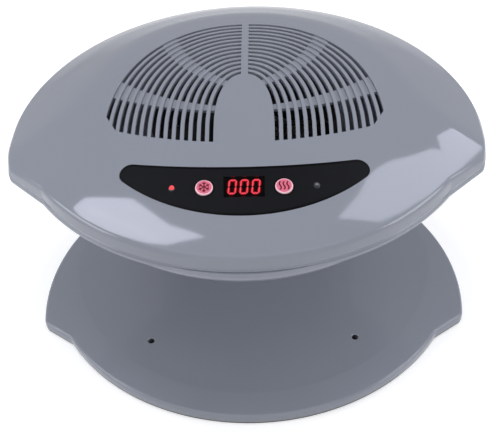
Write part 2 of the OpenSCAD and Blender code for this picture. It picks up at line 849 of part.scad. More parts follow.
module neck_front() placed() color("#8a91a0") difference() {
    union() {
        difference() {
            sector(neck_outer_r, neck_inner_r, neck_half, neck_bottom, neck_top);
            sector(neck_outer_r - neck_wall, neck_inner_r + neck_wall,
                   neck_half - neck_side, neck_bottom - 1, neck_top + 1);
            sector(neck_outer_r + 1, neck_outer_r - neck_wall - ledge / 2, back_half,
                   back_low, back_high);
        }
        difference() {
            sector(neck_outer_r - neck_wall + 0.1, neck_outer_r - 2 * neck_wall, back_half + 2,
                   back_low - ledge, back_high + ledge);
            sector(neck_outer_r + 1, neck_inner_r, back_half - 3,
                   back_low + ledge, back_high - ledge);
        }
        at_polar(neck_screw_r, neck_screw_angles)
            translate([0, 0, neck_top - neck_boss_h]) cylinder(r = boss_r, h = neck_boss_h);
        at_polar(neck_screw_r, column_screw_angles)
            translate([0, 0, neck_bottom]) cylinder(r = boss_r, h = column_boss_h);
        for (x = power_screw_x, z = power_screw_z)
            translate([x, power_y, z]) rotate([90, 0, 0])
                cylinder(r = boss_r - 1, h = power_boss_h);
    }
    bowl_form(fit, far);
    at_polar(neck_screw_r, neck_screw_angles)
        translate([0, 0, neck_top - neck_screw_l - 2]) cylinder(r = screw_pilot, h = far);
    at_polar(neck_screw_r, column_screw_angles)
        translate([0, 0, neck_bottom - 1]) cylinder(r = screw_pilot, h = column_boss_h - 1);
    for (x = power_screw_x, z = power_screw_z)
        translate([x, power_y + 1, z]) rotate([90, 0, 0])
            cylinder(r = screw_pilot, h = power_screw_l);
    for (a = back_screw_angles, z = back_screw_z)
        rotate([0, 0, a]) translate([neck_outer_r - 2 * neck_wall - 2, 0, z])
            rotate([0, 90, 0]) cylinder(r = screw_pilot, h = 2 * back_screw_l);
}

module neck_back() placed() color("#8a91a0") difference() {
    union() {
        sector(neck_outer_r, neck_outer_r - neck_wall + 0.2, back_half - 0.15,
               back_low + fit, back_high - fit);
        translate([-rocker_w / 2 - 4, pad_y - neck_wall - 0.2, switch_z - rocker_h / 2 - 4])
            cube([rocker_w + 8, neck_wall + 0.2, rocker_h + 8]);
        translate([0, pad_y, inlet_z]) rotate([90, 0, 0])
            cylinder(r = gland_r + 4, h = neck_wall + 0.2);
    }
    translate([-rocker_w / 2, pad_y - 10, switch_z - rocker_h / 2])
        cube([rocker_w, 20, rocker_h]);
    translate([0, pad_y + 1, inlet_z]) rotate([90, 0, 0])
        cylinder(r = gland_r + 0.1, h = gland_l + 1);
    for (a = back_screw_angles, z = back_screw_z)
        rotate([0, 0, a]) translate([neck_outer_r - neck_wall - 1, 0, z])
            rotate([0, 90, 0]) {
                cylinder(r = screw_hole, h = 10);
                translate([0, 0, neck_wall + 1 - back_screw_sink])
                    cylinder(r = screw_head_r + fit, h = 5);
            }
}

module neck_screws() placed() color("silver")
    at_polar(neck_screw_r, neck_screw_angles)
        translate([0, 0, rim_z]) screw(rim_t + neck_screw_l);

module neck_back_screws() placed() color("silver")
    for (a = back_screw_angles, z = back_screw_z)
        rotate([0, 0, a]) translate([neck_outer_r - back_screw_sink, 0, z])
            rotate([0, 90, 0]) screw(back_screw_l);

module power_board() placed() color("#2c5a3a") difference() {
    translate([-power_w / 2, power_y, power_z]) cube([power_w, board_t, power_h]);
    for (x = power_screw_x, z = power_screw_z)
        translate([x, power_y + 3, z]) rotate([90, 0, 0]) cylinder(r = screw_hole, h = 5);
}

module transformer() placed() color("#4b4a48") {
    for (z = [core_z, core_z + core_bar + core_window])
        translate([-core_w / 2, power_y + board_t, z]) cube([core_w, core_d, core_bar]);
    translate([-winding_w / 2, power_y + board_t + 1.4, core_z + core_bar / 2])
        cube([winding_w, core_d - 3, core_bar + core_window]);
}

module power_board_screws() placed() color("silver")
    for (x = power_screw_x, z = power_screw_z)
        translate([x, power_y + board_t, z]) rotate([-90, 0, 0]) screw(power_screw_l);

module rocker_housing() placed() color("#17181b") translate([0, pad_y, switch_z]) difference() {
    union() {
        translate([-rocker_w / 2 - 2, 0.05, -rocker_h / 2 - 2])
            cube([rocker_w + 4, bezel, rocker_h + 4]);
        translate([-(rocker_w - fit) / 2, -housing_l, -(rocker_h - fit) / 2])
            cube([rocker_w - fit, housing_l + 1, rocker_h - fit]);
    }
    translate([-rocker_w / 2 + housing_wall, -8, -rocker_h / 2 + housing_wall])
        cube([rocker_w - 2 * housing_wall, 20, rocker_h - 2 * housing_wall]);
    translate([(housing_wall - rocker_w) / 2, -rocker_pin_y, 0]) rotate([0, 90, 0])
        cylinder(r = rocker_pin_r + run_fit, h = rocker_w - housing_wall);
}

// Rocker, drawn level between its two positions
module power_rocker() placed() color("#26282c") translate([0, pad_y, switch_z]) {
    w = rocker_w - 3.6;
    l = rocker_h - 5;
    intersection() {
        translate([-w / 2, -4, -l / 2]) cube([w, 8, l]);
        translate([-w / 2, -22, 0]) rotate([0, 90, 0]) cylinder(r = 25.4, h = w);
    }
    translate([-w / 2 - 0.9, -rocker_pin_y, 0]) rotate([0, 90, 0])
        cylinder(r = rocker_pin_r, h = w + 1.8);
}

module cord_gland() placed() color("#1c1d20") translate([0, pad_y, inlet_z]) difference() {
    union() {
        rotate([-90, 0, 0]) cylinder(r = gland_r + gland_head, h = gland_head);
        rotate([90, 0, 0]) cylinder(r = gland_r, h = gland_l);
    }
    rotate([90, 0, 0]) translate([0, 0, -5]) cylinder(r = cord_r + 0.1, h = 20);
}

module gland_nut() placed() color("#1c1d20")
    translate([0, pad_y - neck_wall - 0.4, inlet_z])
        rotate([90, 0, 0]) ring(gland_r + gland_head, gland_r + 0.1, 4);

// ---------- base ----------

// Sloping edge of the dish between its floor and the plate's top
module dish_cut(r) translate([0, 0, dish_z])
    cylinder(r1 = r - dish_depth, r2 = r + 0.5, h = dish_depth + 0.5);

module base_cover() placed() color("#8f96a5") difference() {
    translate([0, 0, base_low]) linear_extrude(base_top - base_low) base_outline();
    difference() {
        translate([0, 0, base_low - 1])
            linear_extrude(hollow_top - base_low + 1) base_outline(base_wall);
        along_base(base_edge_inset, base_front_angles, base_rear_angles)
            cylinder(r = boss_r, h = far);
    }
    difference() {
        intersection() {
            dish_cut(dish_back_r);
            translate([0, base_step, 0]) dish_cut(dish_front_r);
        }
        sector(body_r, neck_inner_r - 8, pad_half, 0, far);
    }
    sector(neck_outer_r - 4 * boss_r, neck_inner_r + 2 * boss_r, neck_half - 8, 0, far);
    for (side = [-1, 1])
        translate([side * sensor_x, -sensor_front, 0]) cylinder(r = sensor_r + 0.2, h = far);
    at_polar(neck_screw_r, column_screw_angles) cylinder(r = screw_hole, h = far);
    along_base(base_edge_inset, base_front_angles, base_rear_angles)
        translate([0, 0, base_low - 1]) cylinder(r = screw_pilot, h = base_screw_l + 1);
}

module base_bottom() placed() color("#3a3d44") difference() {
    translate([0, 0, base_low]) linear_extrude(bottom_t) base_outline(base_wall + fit);
    along_base(base_edge_inset, base_front_angles, base_rear_angles)
        cylinder(r = boss_r + fit, h = far);
}

module base_screws() placed() color("silver")
    along_base(base_edge_inset, base_front_angles, base_rear_angles)
        translate([0, 0, base_low]) rotate([180, 0, 0]) screw(base_screw_l);

module column_screws() placed() color("silver")
    at_polar(neck_screw_r, column_screw_angles)
        translate([0, 0, hollow_top]) rotate([180, 0, 0]) screw(neck_bottom - hollow_top + 10);

module base_sensors() placed() color("#131417")
    for (side = [-1, 1])
        translate([side * sensor_x, -sensor_front, bottom_top + sensor_board_t]) {
            cylinder(r = sensor_r, h = dish_z - bottom_top - sensor_board_t - 0.6);
            cylinder(r = sensor_r + 0.6, h = 0.8);
        }

module sensor_boards() placed() color("#2c5a3a")
    for (side = [-1, 1])
        translate([side * sensor_x - sensor_board_w / 2, -sensor_front - sensor_board_d / 2, bottom_top])
            cube([sensor_board_w, sensor_board_d, sensor_board_t]);

module rubber_feet() placed() color("#1b1c1e")
    along_base(foot_inset, foot_front_angles, foot_rear_angles)
        cylinder(r = foot_r, h = foot_h);

upper_cover();
lower_cover();
control_panel();
display_window();
digit_display();
cool_button();
hot_button();
cool_lamp();
hot_lamp();
control_board();
tact_switches();
board_screws();
head_screws();
outlet_grille();
fan_duct();
motor_bracket();
fan_motor();
motor_shaft();
fan_impeller();
motor_screws();
bracket_screws();
heater_frame();
heater_coil();
thermal_cutout();
head_sensors();
neck_front();
neck_back();
neck_screws();
neck_back_screws();
power_board();
transformer();
power_board_screws();
rocker_housing();
power_rocker();
cord_gland();
gland_nut();
base_cover();
base_bottom();
base_screws();
column_screws();
base_sensors();
sensor_boards();
rubber_feet();
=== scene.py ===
# %% [markdown]
# # A two-hand nail dryer
# The object is a tabletop blower: a saucer-shaped head hangs over a flat plate on which both
# hands lie. Its shells are glossy blue-grey ABS, its control panel is a dark crescent.
# The solid model gives the frame, and every piece below is laid over it at real size.

# %% Load the frame
import math

import bpy
import numpy as np
from mathutils import Matrix


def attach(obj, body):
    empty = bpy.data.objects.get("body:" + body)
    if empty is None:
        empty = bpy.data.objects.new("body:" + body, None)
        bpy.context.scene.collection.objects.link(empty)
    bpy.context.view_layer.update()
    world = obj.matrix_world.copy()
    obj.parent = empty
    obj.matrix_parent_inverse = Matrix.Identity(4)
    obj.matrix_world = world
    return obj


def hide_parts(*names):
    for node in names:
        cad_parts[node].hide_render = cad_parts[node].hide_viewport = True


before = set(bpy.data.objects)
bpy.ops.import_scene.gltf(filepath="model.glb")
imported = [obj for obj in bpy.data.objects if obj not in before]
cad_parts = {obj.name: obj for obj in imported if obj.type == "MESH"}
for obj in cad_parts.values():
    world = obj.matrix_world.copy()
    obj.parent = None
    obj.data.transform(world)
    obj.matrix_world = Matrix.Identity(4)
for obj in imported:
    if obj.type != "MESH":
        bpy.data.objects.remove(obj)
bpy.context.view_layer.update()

# %% [markdown]
# ## From drawing to frame
# Head, bowl and fan are round, so it is easiest to draw them about the fan's axis, in
# millimetres. The frame has its origin under the middle of the whole box, 16 mm away from
# that axis, and counts in metres. One function does that step for every piece, and another
# undoes it where a finished mesh is read again.

# %% Points about the fan axis, in mm, become frame points in metres
AXIS_Y = -16.0


def to_frame(points):
    """Shift by the axis' distance along Y, then divide by a thousand."""
    return (np.asarray(points, float) + [0.0, AXIS_Y, 0.0]) / 1000.0


def from_frame(points):
    """The way back: frame points in metres to points about the axis in millimetres."""
    return np.asarray(points, float) * 1000 - [0.0, AXIS_Y, 0.0]


def join_body(piece, body, *nodes):
    """Let the piece ride on a body and stand for the solids it is drawn over."""
    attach(piece, body)
    if nodes:
        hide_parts(*nodes)
    return piece


# %% [markdown]
# ## One way to make every skin
# A skin is a grid: rows of points, each row a closed ring of the same length. Neighbouring
# rings are joined by four-sided faces. A grid can end in a single point, in a flat cap, or
# close on itself like a tyre. The sign of the enclosed volume tells whether the faces look
# outwards, which is safer than counting windings by hand.

# %% Grid to mesh
def mesh_object(name, points, faces):
    """Put points (n, 3) and faces (lists of corners) into a mesh whose faces look outwards.
    The enclosed volume is the sum of a . (b x c) / 6 over all corner triangles."""
    points = np.asarray(points, float)
    faces = [np.asarray(group) for group in faces]
    volume = 0.0
    for group in faces:
        a = points[group[:, 0]]
        for k in range(1, group.shape[1] - 1):
            b, c = points[group[:, k]], points[group[:, k + 1]]
            volume += np.einsum("ij,ij->", a, np.cross(b, c))
    if volume < 0:
        faces = [group[:, ::-1] for group in faces]
    sizes = np.concatenate([np.full(len(group), group.shape[1]) for group in faces])
    starts = np.concatenate([[0], np.cumsum(sizes)[:-1]])
    corners = np.concatenate([group.ravel() for group in faces])
    mesh = bpy.data.meshes.new(name)
    mesh.vertices.add(len(points))
    mesh.vertices.foreach_set("co", to_frame(points).astype(np.float32).ravel())
    mesh.loops.add(len(corners))
    mesh.loops.foreach_set("vertex_index", corners.astype(np.int32))
    mesh.polygons.add(len(sizes))
    mesh.polygons.foreach_set("loop_start", starts.astype(np.int32))
    mesh.update(calc_edges=True)
    mesh.validate()
    piece = bpy.data.objects.new(name, mesh)
    bpy.context.scene.collection.objects.link(piece)
    return piece


def skin(name, rows, start=None, end=None, closed=False, caps=False, angle=30):
    """Rings rows[i] joined in turn. start and end are pole points, closed joins the last
    ring to the first, caps fills the first and last ring with one flat face. Edges are kept
    sharp where two faces meet at more than the angle in degrees."""
    rows = np.asarray(rows, float)
    count, size = rows.shape[:2]
    points = rows.reshape(-1, 3)
    ring = np.arange(size)
    after = (ring + 1) % size
    row = np.arange(count if closed else count - 1)[:, None]
    upper = (row + 1) % count
    faces = [np.stack([row * size + ring, row * size + after,
                       upper * size + after, upper * size + ring], -1).reshape(-1, 4)]
    last = (count - 1) * size
    if start is not None:
        points = np.vstack([points, start])
        faces.append(np.stack([np.full(size, len(points) - 1), after, ring], -1))
    if end is not None:
        points = np.vstack([points, end])
        faces.append(np.stack([np.full(size, len(points) - 1), last + ring, last + after], -1))
    if caps:
        faces.append(ring[::-1][None])
        faces.append((last + ring)[None])
    piece = mesh_object(name, points, faces)
    soften(piece, angle)
    return piece


def soften(piece, angle=30):
    """Shade smoothly, with creases where two faces meet at more than the angle."""
    mesh = piece.data
    mesh.polygons.foreach_set("use_smooth", np.ones(len(mesh.polygons), bool))
    mesh.set_sharp_from_angle(angle=math.radians(angle))
    mesh.update()


print("helpers for skins are ready")

# %% [markdown]
# ## The outline in plan
# Seen from above the head is a disc with a second disc pushed into its front. The two arcs
# meet in a straight shoulder, with a small hollow at the front end and a rounded ear at the
# rear end. The base has the same construction with other numbers. Points are spread by
# length and by turning, so the small ear gets as many as it needs.

# %% Outline of head and base
BODY_R = 170.0
EAR_R, HOLLOW_R = 9.0, 8.0
HEAD = dict(step=34.0, slope=43.8, reach=142.3)
BASE = dict(step=47.4, slope=36.4, reach=119.4)
CORNER_SHARE = 0.35      # how many more points go where the outline turns


def mirrored(half):
    """A right half from front to back, followed by its mirrored twin on the left."""
    return np.vstack([half, (half * [-1, 1])[::-1][1:-1]])


def arc(centre, radius, first, last, step=0.25):
    """Points at centre + radius * (cos, sin) of angles from first to last, in degrees."""
    count = max(3, int(abs(math.radians(last - first)) * radius / step))
    turn = np.radians(np.linspace(first, last, count))
    return np.asarray(centre, float) + radius * np.stack([np.cos(turn), np.sin(turn)], -1)


def outline(step, slope, reach, count=512):
    """Closed outline and its outward normals: front arc about a centre one step behind the
    axis, hollow, shoulder line at a slope and a reach from the fan axis, ear, rear arc, then
    the mirrored half. A tangent circle's middle follows from Pythagoras."""
    s = math.radians(slope)
    across = np.array([math.sin(s), -math.cos(s)])
    along = np.array([math.cos(s), math.sin(s)])
    ear_run = math.sqrt((BODY_R - EAR_R) ** 2 - (reach - EAR_R) ** 2)
    ear = (reach - EAR_R) * across + ear_run * along
    aside = reach + HOLLOW_R + step * math.cos(s)
    hollow_run = step * math.sin(s) + math.sqrt((BODY_R + HOLLOW_R) ** 2 - aside * aside)
    hollow = (reach + HOLLOW_R) * across + hollow_run * along
    join = math.degrees(math.atan2(hollow[1] - step, hollow[0]))
    tip = math.degrees(math.atan2(ear[1], ear[0]))
    loop = mirrored(np.vstack([
        arc([0, step], BODY_R, -90, join), arc(hollow, HOLLOW_R, 180 + join, slope + 90),
        arc(ear, EAR_R, slope - 90, tip), arc([0, 0], BODY_R, tip, 90)]))
    loop = loop[np.r_[True, np.linalg.norm(np.diff(loop, axis=0), axis=1) > 1e-6]]
    shut = np.vstack([loop, loop[:1]])
    edge = np.diff(shut, axis=0)
    length = np.linalg.norm(edge, axis=1)
    heading = np.unwrap(np.arctan2(edge[:, 1], edge[:, 0]))
    turning = np.abs(np.diff(np.r_[heading[-1] - 2 * math.pi, heading]))
    share = length / length.sum() + CORNER_SHARE * turning / turning.sum()
    measure = np.r_[0, np.cumsum(share)]
    even = np.linspace(0, measure[-1], count, endpoint=False)
    points = np.stack([np.interp(even, measure, shut[:, k]) for k in (0, 1)], -1)
    tangent = np.roll(points, -1, 0) - np.roll(points, 1, 0)
    tangent /= np.linalg.norm(tangent, axis=1)[:, None]
    return points, np.stack([tangent[:, 1], -tangent[:, 0]], -1)


head_edge, head_out = outline(**HEAD)
base_edge, base_out = outline(**BASE)
print("head", np.ptp(head_edge, axis=0).round(1), "base", np.ptp(base_edge, axis=0).round(1))

# %% [markdown]
# ## The dome as a height over the plan
# The moulded top is three surfaces that run into each other: a very flat sphere for the
# deck, a rounder sphere for the front, and a cone-like skirt round the back that runs
# straight on to the ears. Each is a height above a point of the plan, and the dome is the
# lowest of them. A soft minimum rounds the creases as the mould's polished edges do.

# %% Height of the dome
TOP_Z, SEAM_Z, CREASE_Z = 216.5, 177.0, 188.5
DECK_R, FRONT_R = 580.0, 460.0
SKIRT_IN, SKIRT_MID, SKIRT_OUT = 119.5, 151.5, 170.0    # where the skirt's two slopes meet
TURN = math.radians(15.5)
FRONT_MID = CREASE_Z - math.sqrt(FRONT_R ** 2 - BODY_R ** 2)
DECK_EDGE = TOP_Z - DECK_R + math.sqrt(DECK_R ** 2 - SKIRT_IN ** 2)


def soft_min(a, b, reach):
    """The lower of two heights, rounded where they are closer than reach."""
    t = np.clip(0.5 + 0.5 * (b - a) / reach, 0, 1)
    return b + (a - b) * t - reach * t * (1 - t)


def skirt_radius(x, y):
    """Distance from the fan axis behind the turning direction, and distance along that
    direction in front of it, so the skirt runs straight on to the ears."""
    x = np.abs(x)
    ahead = y * math.cos(TURN) - x * math.sin(TURN)
    return np.where(ahead >= 0, np.hypot(x, y), x * math.cos(TURN) + y * math.sin(TURN))


def front_height(x, y, sink=0.0):
    """Sphere of the front, its radius made smaller by sink."""
    return FRONT_MID + np.sqrt((FRONT_R - sink) ** 2 - x ** 2 - (y - HEAD["step"]) ** 2)


def dome_height(x, y):
    """Soft minimum of deck sphere, front sphere and the two slopes of the skirt."""
    deck = TOP_Z - DECK_R + np.sqrt(DECK_R ** 2 - x ** 2 - y ** 2)
    top = soft_min(deck, front_height(x, y), 4.0)
    r = skirt_radius(x, y)
    upper = DECK_EDGE + (r - SKIRT_IN) * (CREASE_Z - DECK_EDGE) / (SKIRT_MID - SKIRT_IN)
    lower = CREASE_Z + (r - SKIRT_MID) * (SEAM_Z + 1.0 - CREASE_Z) / (SKIRT_OUT - SKIRT_MID)
    return soft_min(top, soft_min(upper, lower, 0.6), 2.0)


def dome_normal(x, y, h=0.05):
    """Upward normal (-dz/dx, -dz/dy, 1) from central differences over h mm."""
    dx = (dome_height(x + h, y) - dome_height(x - h, y)) / (2 * h)
    dy = (dome_height(x, y + h) - dome_height(x, y - h)) / (2 * h)
    normal = np.stack([-dx, -dy, np.ones_like(dx)], -1)
    return normal / np.linalg.norm(normal, axis=-1)[..., None]


print("dome at the axis", round(float(dome_height(0.0, 0.0)), 2))

# %% [markdown]
# ## The upper cover
# The moulded cover is a closed shell about 3 mm thick. Its skin is one function of two
# parameters: u runs round the outline, v runs from the middle of the deck over the rounded
# edge, down the wall, under the seam edge and back along the inside. The wall stands where
# the dome leaves it 3.6 mm of cover and some height, and a running mean keeps it smooth.

# %% Rings of the upper cover
MIDDLE = np.array([0.0, -15.0])
COVER_THICK = 3.4
EDGE_R = 3.0
BEAD = [(0.0, 1.0), (0.25, 0.85), (0.5, 0.65), (0.6, 0.4), (0.5, 0.15), (0.3, 0.0)]


def at(points, z):
    """Plan points with their heights as (n, 3)."""
    return np.column_stack([points, np.broadcast_to(z, len(points))])


def quarter(r, degrees):
    """Quarter circle of radius r as (inset, drop) pairs, r (1 - sin a) and r (1 - cos a)."""
    return [(r * (1 - math.sin(a)), r * (1 - math.cos(a))) for a in np.radians(degrees)]


def cover_rings():
    """Deck: middle + s * (inset outline - middle), lifted to the dome. Edge: the outline
    inset and lowered by a quarter circle. The wall ends in a bead 0.6 mm proud, whose rows
    are (swell, share of its height), and the inside runs at a measured inset."""
    edge, out = head_edge, head_out
    edge_z = dome_height(*edge.T)
    rows = []
    inner = edge - out * 2 * EDGE_R
    for s in np.r_[np.linspace(0.02, 0.9, 44), np.linspace(0.92, 1.0, 5)]:
        flat = MIDDLE + s * (inner - MIDDLE)
        rows.append(at(flat, dome_height(*flat.T)))
    for inset in (5.2, 4.4, 3.7):
        flat = edge - out * inset
        rows.append(at(flat, dome_height(*flat.T)))
    for inset, drop in quarter(np.minimum(EDGE_R, 0.8 * (edge_z - SEAM_Z)), np.linspace(0, 90, 9)):
        flat = edge - out * inset[:, None]
        rows.append(at(flat, dome_height(*flat.T) - drop))
    wall_top = rows[-1][:, 2]
    bead = np.minimum(1.5, 0.6 * (wall_top - SEAM_Z))
    rows.append(at(edge, 0.5 * (wall_top + SEAM_Z + bead)))
    rows += [at(edge + out * swell, SEAM_Z + bead * share) for swell, share in BEAD]
    insets = np.linspace(3, 16, 53)
    room = np.stack([dome_height(*(edge - out * inset).T) - 3.6 - SEAM_Z for inset in insets])
    wall = insets[np.argmax(room > 0.4, axis=0)]
    ends = np.r_[wall[-6:], wall, wall[:6]]
    wall = np.maximum(wall, np.convolve(ends, np.full(13, 1 / 13), "valid"))
    flat = edge - out * wall[:, None]
    rows.append(at(flat, SEAM_Z))
    rows.append(at(flat, dome_height(*flat.T) - 3.5))
    for s in np.linspace(0.96, 0.05, 18):
        inside = MIDDLE + s * (flat - MIDDLE)
        rows.append(at(inside, dome_height(*inside.T) - COVER_THICK))
    return np.stack(rows)


mid_top = float(dome_height(MIDDLE[0], MIDDLE[1]))
upper_cover = skin("upper_cover_skin", cover_rings(), start=[*MIDDLE, mid_top],
                   end=[*MIDDLE, mid_top - COVER_THICK])
print("upper cover faces", len(upper_cover.data.polygons))

# %% [markdown]
# ## Cutting tools
# Slots, holes and recesses are made as in a tool room: a closed solid of the hole's shape is
# taken away from the cover. The Boolean modifier's Manifold solver is exact and quick when
# both bodies are closed. The tool is thrown away afterwards.

# %% Boolean helper
def cut(piece, *tools):
    """Take the closed tools away from the piece, keep the result as its mesh."""
    for tool in tools:
        step = piece.modifiers.new("cut", "BOOLEAN")
        step.operation = "DIFFERENCE"
        step.solver = "MANIFOLD"
        step.object = tool
    bpy.context.view_layer.update()
    shape = piece.evaluated_get(bpy.context.evaluated_depsgraph_get())
    mesh = bpy.data.meshes.new_from_object(shape)
    piece.modifiers.clear()
    old, piece.data = piece.data, mesh
    bpy.data.meshes.remove(old)
    mesh.name = piece.name
    for tool in tools:
        bpy.data.objects.remove(tool)


def rod(name, centre, radius, low, high, axis=(0, 0, 1), sides=48):
    """Straight round tool: rings of centre + r * (a cos t + b sin t) at both ends."""
    axis = np.asarray(axis, float) / np.linalg.norm(axis)
    a = np.cross(axis, [0.0, 1.0, 0.0] if abs(axis[1]) < 0.9 else [1.0, 0.0, 0.0])
    a /= np.linalg.norm(a)
    b = np.cross(axis, a)
    t = np.linspace(0, 2 * math.pi, sides, endpoint=False)[:, None]
    ring = np.asarray(centre, float) + radius * (np.cos(t) * a + np.sin(t) * b)
    return skin(name, [ring + axis * low, ring + axis * high], caps=True)


print("cutting helpers are ready")

# %% [markdown]
# ## The arched intake grille
# Fourteen slots follow arches that stand inside each other, like ripples. One arch is a
# super-ellipse |x/a|^2.2 + |y/b|^2.2 = 1 on straight legs, and both half axes grow by the
# same steps. The bars between the slots run unbroken over curved ribs, whose tops lie
# 1.2 mm lower. So a shallow groove with rounded lips is cut everywhere but over the spine,
# which lies flush with the dome, and the deep part of each slot is cut only where no rib
# crosses.

# %% Arches
SLOTS, SLOT_W, SLOT_DEPTH = 14, 2.9, 9.0
GROOVE_DEPTH, LIP_R = 1.2, 0.45
ARCH_X, ARCH_Y, ARCH_STEP_X, ARCH_STEP_Y = 22.24, 59.19, 5.692, 5.492
ARCH_FOOT, ARCH_POWER, LEG = -33.3, 2.2, 60.0
FRONT_ARC_Y, FRONT_ARC_R, CORNER_LINE = 145.7, 194.7, 205.0


def arch_point(k, grow, t):
    """Arch k grown by grow. t from 0 to pi runs over the super-ellipse, t below 0 or above
    pi runs down the legs, one unit for LEG mm. k, grow and t broadcast as arrays."""
    a = ARCH_X + ARCH_STEP_X * k + grow
    b = ARCH_Y + ARCH_STEP_Y * k + grow
    c = np.cos(np.clip(t, 0, math.pi))
    s = np.sin(np.clip(t, 0, math.pi))
    leg = np.maximum(np.maximum(-t, t - math.pi), 0) * LEG
    x = a * np.sign(c) * np.abs(c) ** (2 / ARCH_POWER)
    y = ARCH_FOOT + b * np.abs(s) ** (2 / ARCH_POWER) - leg
    return x, y


def arch_end(k, grow):
    """First t at which the arch lies inside the grille's front edge, a wide arc whose
    corners are clipped by the line 2 x - y."""
    t = np.linspace(-0.9, 0.6, 6001)
    x, y = arch_point(k, grow, t)
    inside = (x ** 2 + (y - FRONT_ARC_Y) ** 2 < FRONT_ARC_R ** 2) & (2 * x - y < CORNER_LINE)
    return t[np.argmax(inside)]


def slot_tool(name, k, profile, count=120, extra=0.0):
    """Tool for slot k: profile points (across, depth) carried along the arch. Each point
    keeps its own end, so the slot stops square to the front edge, and its depth is
    measured down from the dome."""
    columns = []
    for across, depth in profile:
        end = arch_end(k, across) - extra
        fine = np.linspace(end, math.pi - end, 4000)
        x, y = arch_point(k, across, fine)
        run = np.r_[0, np.cumsum(np.hypot(np.diff(x), np.diff(y)))]
        t = np.interp(np.linspace(0, run[-1], count), run, fine)
        x, y = arch_point(k, across, t)
        columns.append(np.stack([x, y, dome_height(x, y) - depth], -1))
    return skin(name, np.stack(columns, 1), caps=True)


half = SLOT_W / 2
right = ([(half, GROOVE_DEPTH)]
         + [(half + inset, drop) for inset, drop in quarter(LIP_R, [90, 60, 30, 0])]
         + [(half + LIP_R, -1.5)])
groove = [(-across, depth) for across, depth in right[::-1]] + right
narrow = half - 0.04
deep = [(-narrow, 0.7), (-narrow, SLOT_DEPTH), (narrow, SLOT_DEPTH), (narrow, 0.7)]
groove_tools = [slot_tool(f"groove_{k}", k, groove) for k in range(SLOTS)]
deep_tools = [slot_tool(f"deep_{k}", k, deep, extra=-0.0008) for k in range(SLOTS)]
print("slot tools", len(groove_tools) + len(deep_tools))

# %% [markdown]
# ## Ribs under the bars
# Each curved rib is the sliver inside one circle and outside another. In polar form about
# the first centre it lies between the distance to the second circle and the first radius,
# so it is a function of two parameters too. The ribs are taken away from the deep tools,
# which leaves them standing in the cover, and the spine from the grooves as well.

# %% Rib solids
SPINE_HALF = 2.6
TOOL_LOW, TOOL_HIGH = 150.0, 230.0      # ribs and spine as tools reach through the dome
RIB_FRONT, RIB_BACK, RIB_REACH = -34.0, 130.0, 135.0
SLIVERS = [((-38.4, 101), 103.9, (-60.4, 105.7), 114.4), ((2.4, 147), 164.1, (-8.7, 119.6), 133.6)]


def rib_tool(name, centre, radius, other, other_radius, side):
    """Sliver inside circle (centre, radius) and outside circle (other, other_radius). Along
    the direction e the second circle is at rho = -(d.e) + sqrt((d.e)^2 - |d|^2 + R^2). Of
    the whole turn in eighths of a degree, what lies within the grille is kept, and every
    sixth step of that makes the grid."""
    turn = np.linspace(-math.pi, math.pi, 360 * 8 + 1)
    e = np.stack([np.cos(turn), np.sin(turn)], -1)
    d = np.subtract(centre, other)
    along = e @ d
    inner = -along + np.sqrt(along ** 2 - d @ d + other_radius ** 2)
    spot = np.asarray(centre) + radius * e
    x, y = spot.T
    keep = (inner < radius - 0.05) & (x > 0.5) & (y > RIB_FRONT) & (y < RIB_BACK)
    keep &= np.hypot(x, y) < RIB_REACH
    e, inner = e[keep][::6], inner[keep][::6]
    near = np.asarray(centre) + inner[:, None] * e
    far = np.asarray(centre) + radius * e
    rows = [at(near, TOOL_LOW), at(near, TOOL_HIGH), at(far, TOOL_HIGH), at(far, TOOL_LOW)]
    return skin(name, np.stack(rows, 1) * [side, 1, 1], caps=True)


def spine(name, half):
    """Straight rib in the middle, a box from the axis to the rear."""
    ring = np.array([[-half, 0], [half, 0], [half, 140], [-half, 140]])
    return skin(name, [at(ring, TOOL_LOW), at(ring, TOOL_HIGH)], caps=True)


def values_of(items, key, width=3, kind=np.float32):
    """One attribute of all vertices, corners or faces, a row for each."""
    values = np.zeros(len(items) * width, kind)
    items.foreach_get(key, values)
    return values.reshape(-1, width)


def merge(name, pieces):
    """Several separate closed meshes as one object, for one cut instead of many."""
    points, faces, base = [], {}, 0
    for piece in pieces:
        mesh = piece.data
        points.append(from_frame(values_of(mesh.vertices, "co")))
        for face in mesh.polygons:
            corners = np.array(face.vertices) + base
            faces.setdefault(len(corners), []).append(corners)
        base += len(mesh.vertices)
        bpy.data.objects.remove(piece)
    return mesh_object(name, np.vstack(points), [np.array(group) for group in faces.values()])


ribs = [rib_tool(f"rib_{n}_{side}", *sliver, side)
        for side in (-1, 1) for n, sliver in enumerate(SLIVERS)]
deep_all = merge("deep_all", deep_tools)
cut(deep_all, spine("spine_deep", SPINE_HALF + 0.05), *ribs)
groove_all = merge("groove_all", groove_tools)
cut(groove_all, spine("spine_flush", SPINE_HALF))
cut(upper_cover, deep_all, groove_all)
print("cover with its grille", len(upper_cover.data.polygons), "faces")

# %% [markdown]
# ## The recess and holes of the control panel
# The panel is a crescent let into the front sphere. Its outline runs over a wide lower arc,
# two rounded tips and a flat upper arc. A tip is one circle that touches both arcs, so its
# middle is found where two wider circles cross.

# %% Crescent outline
LOW_Y, LOW_R = 8.6, 115.0
HIGH_Y, HIGH_R = 219.5, 290.0
TIP_R = 7.2


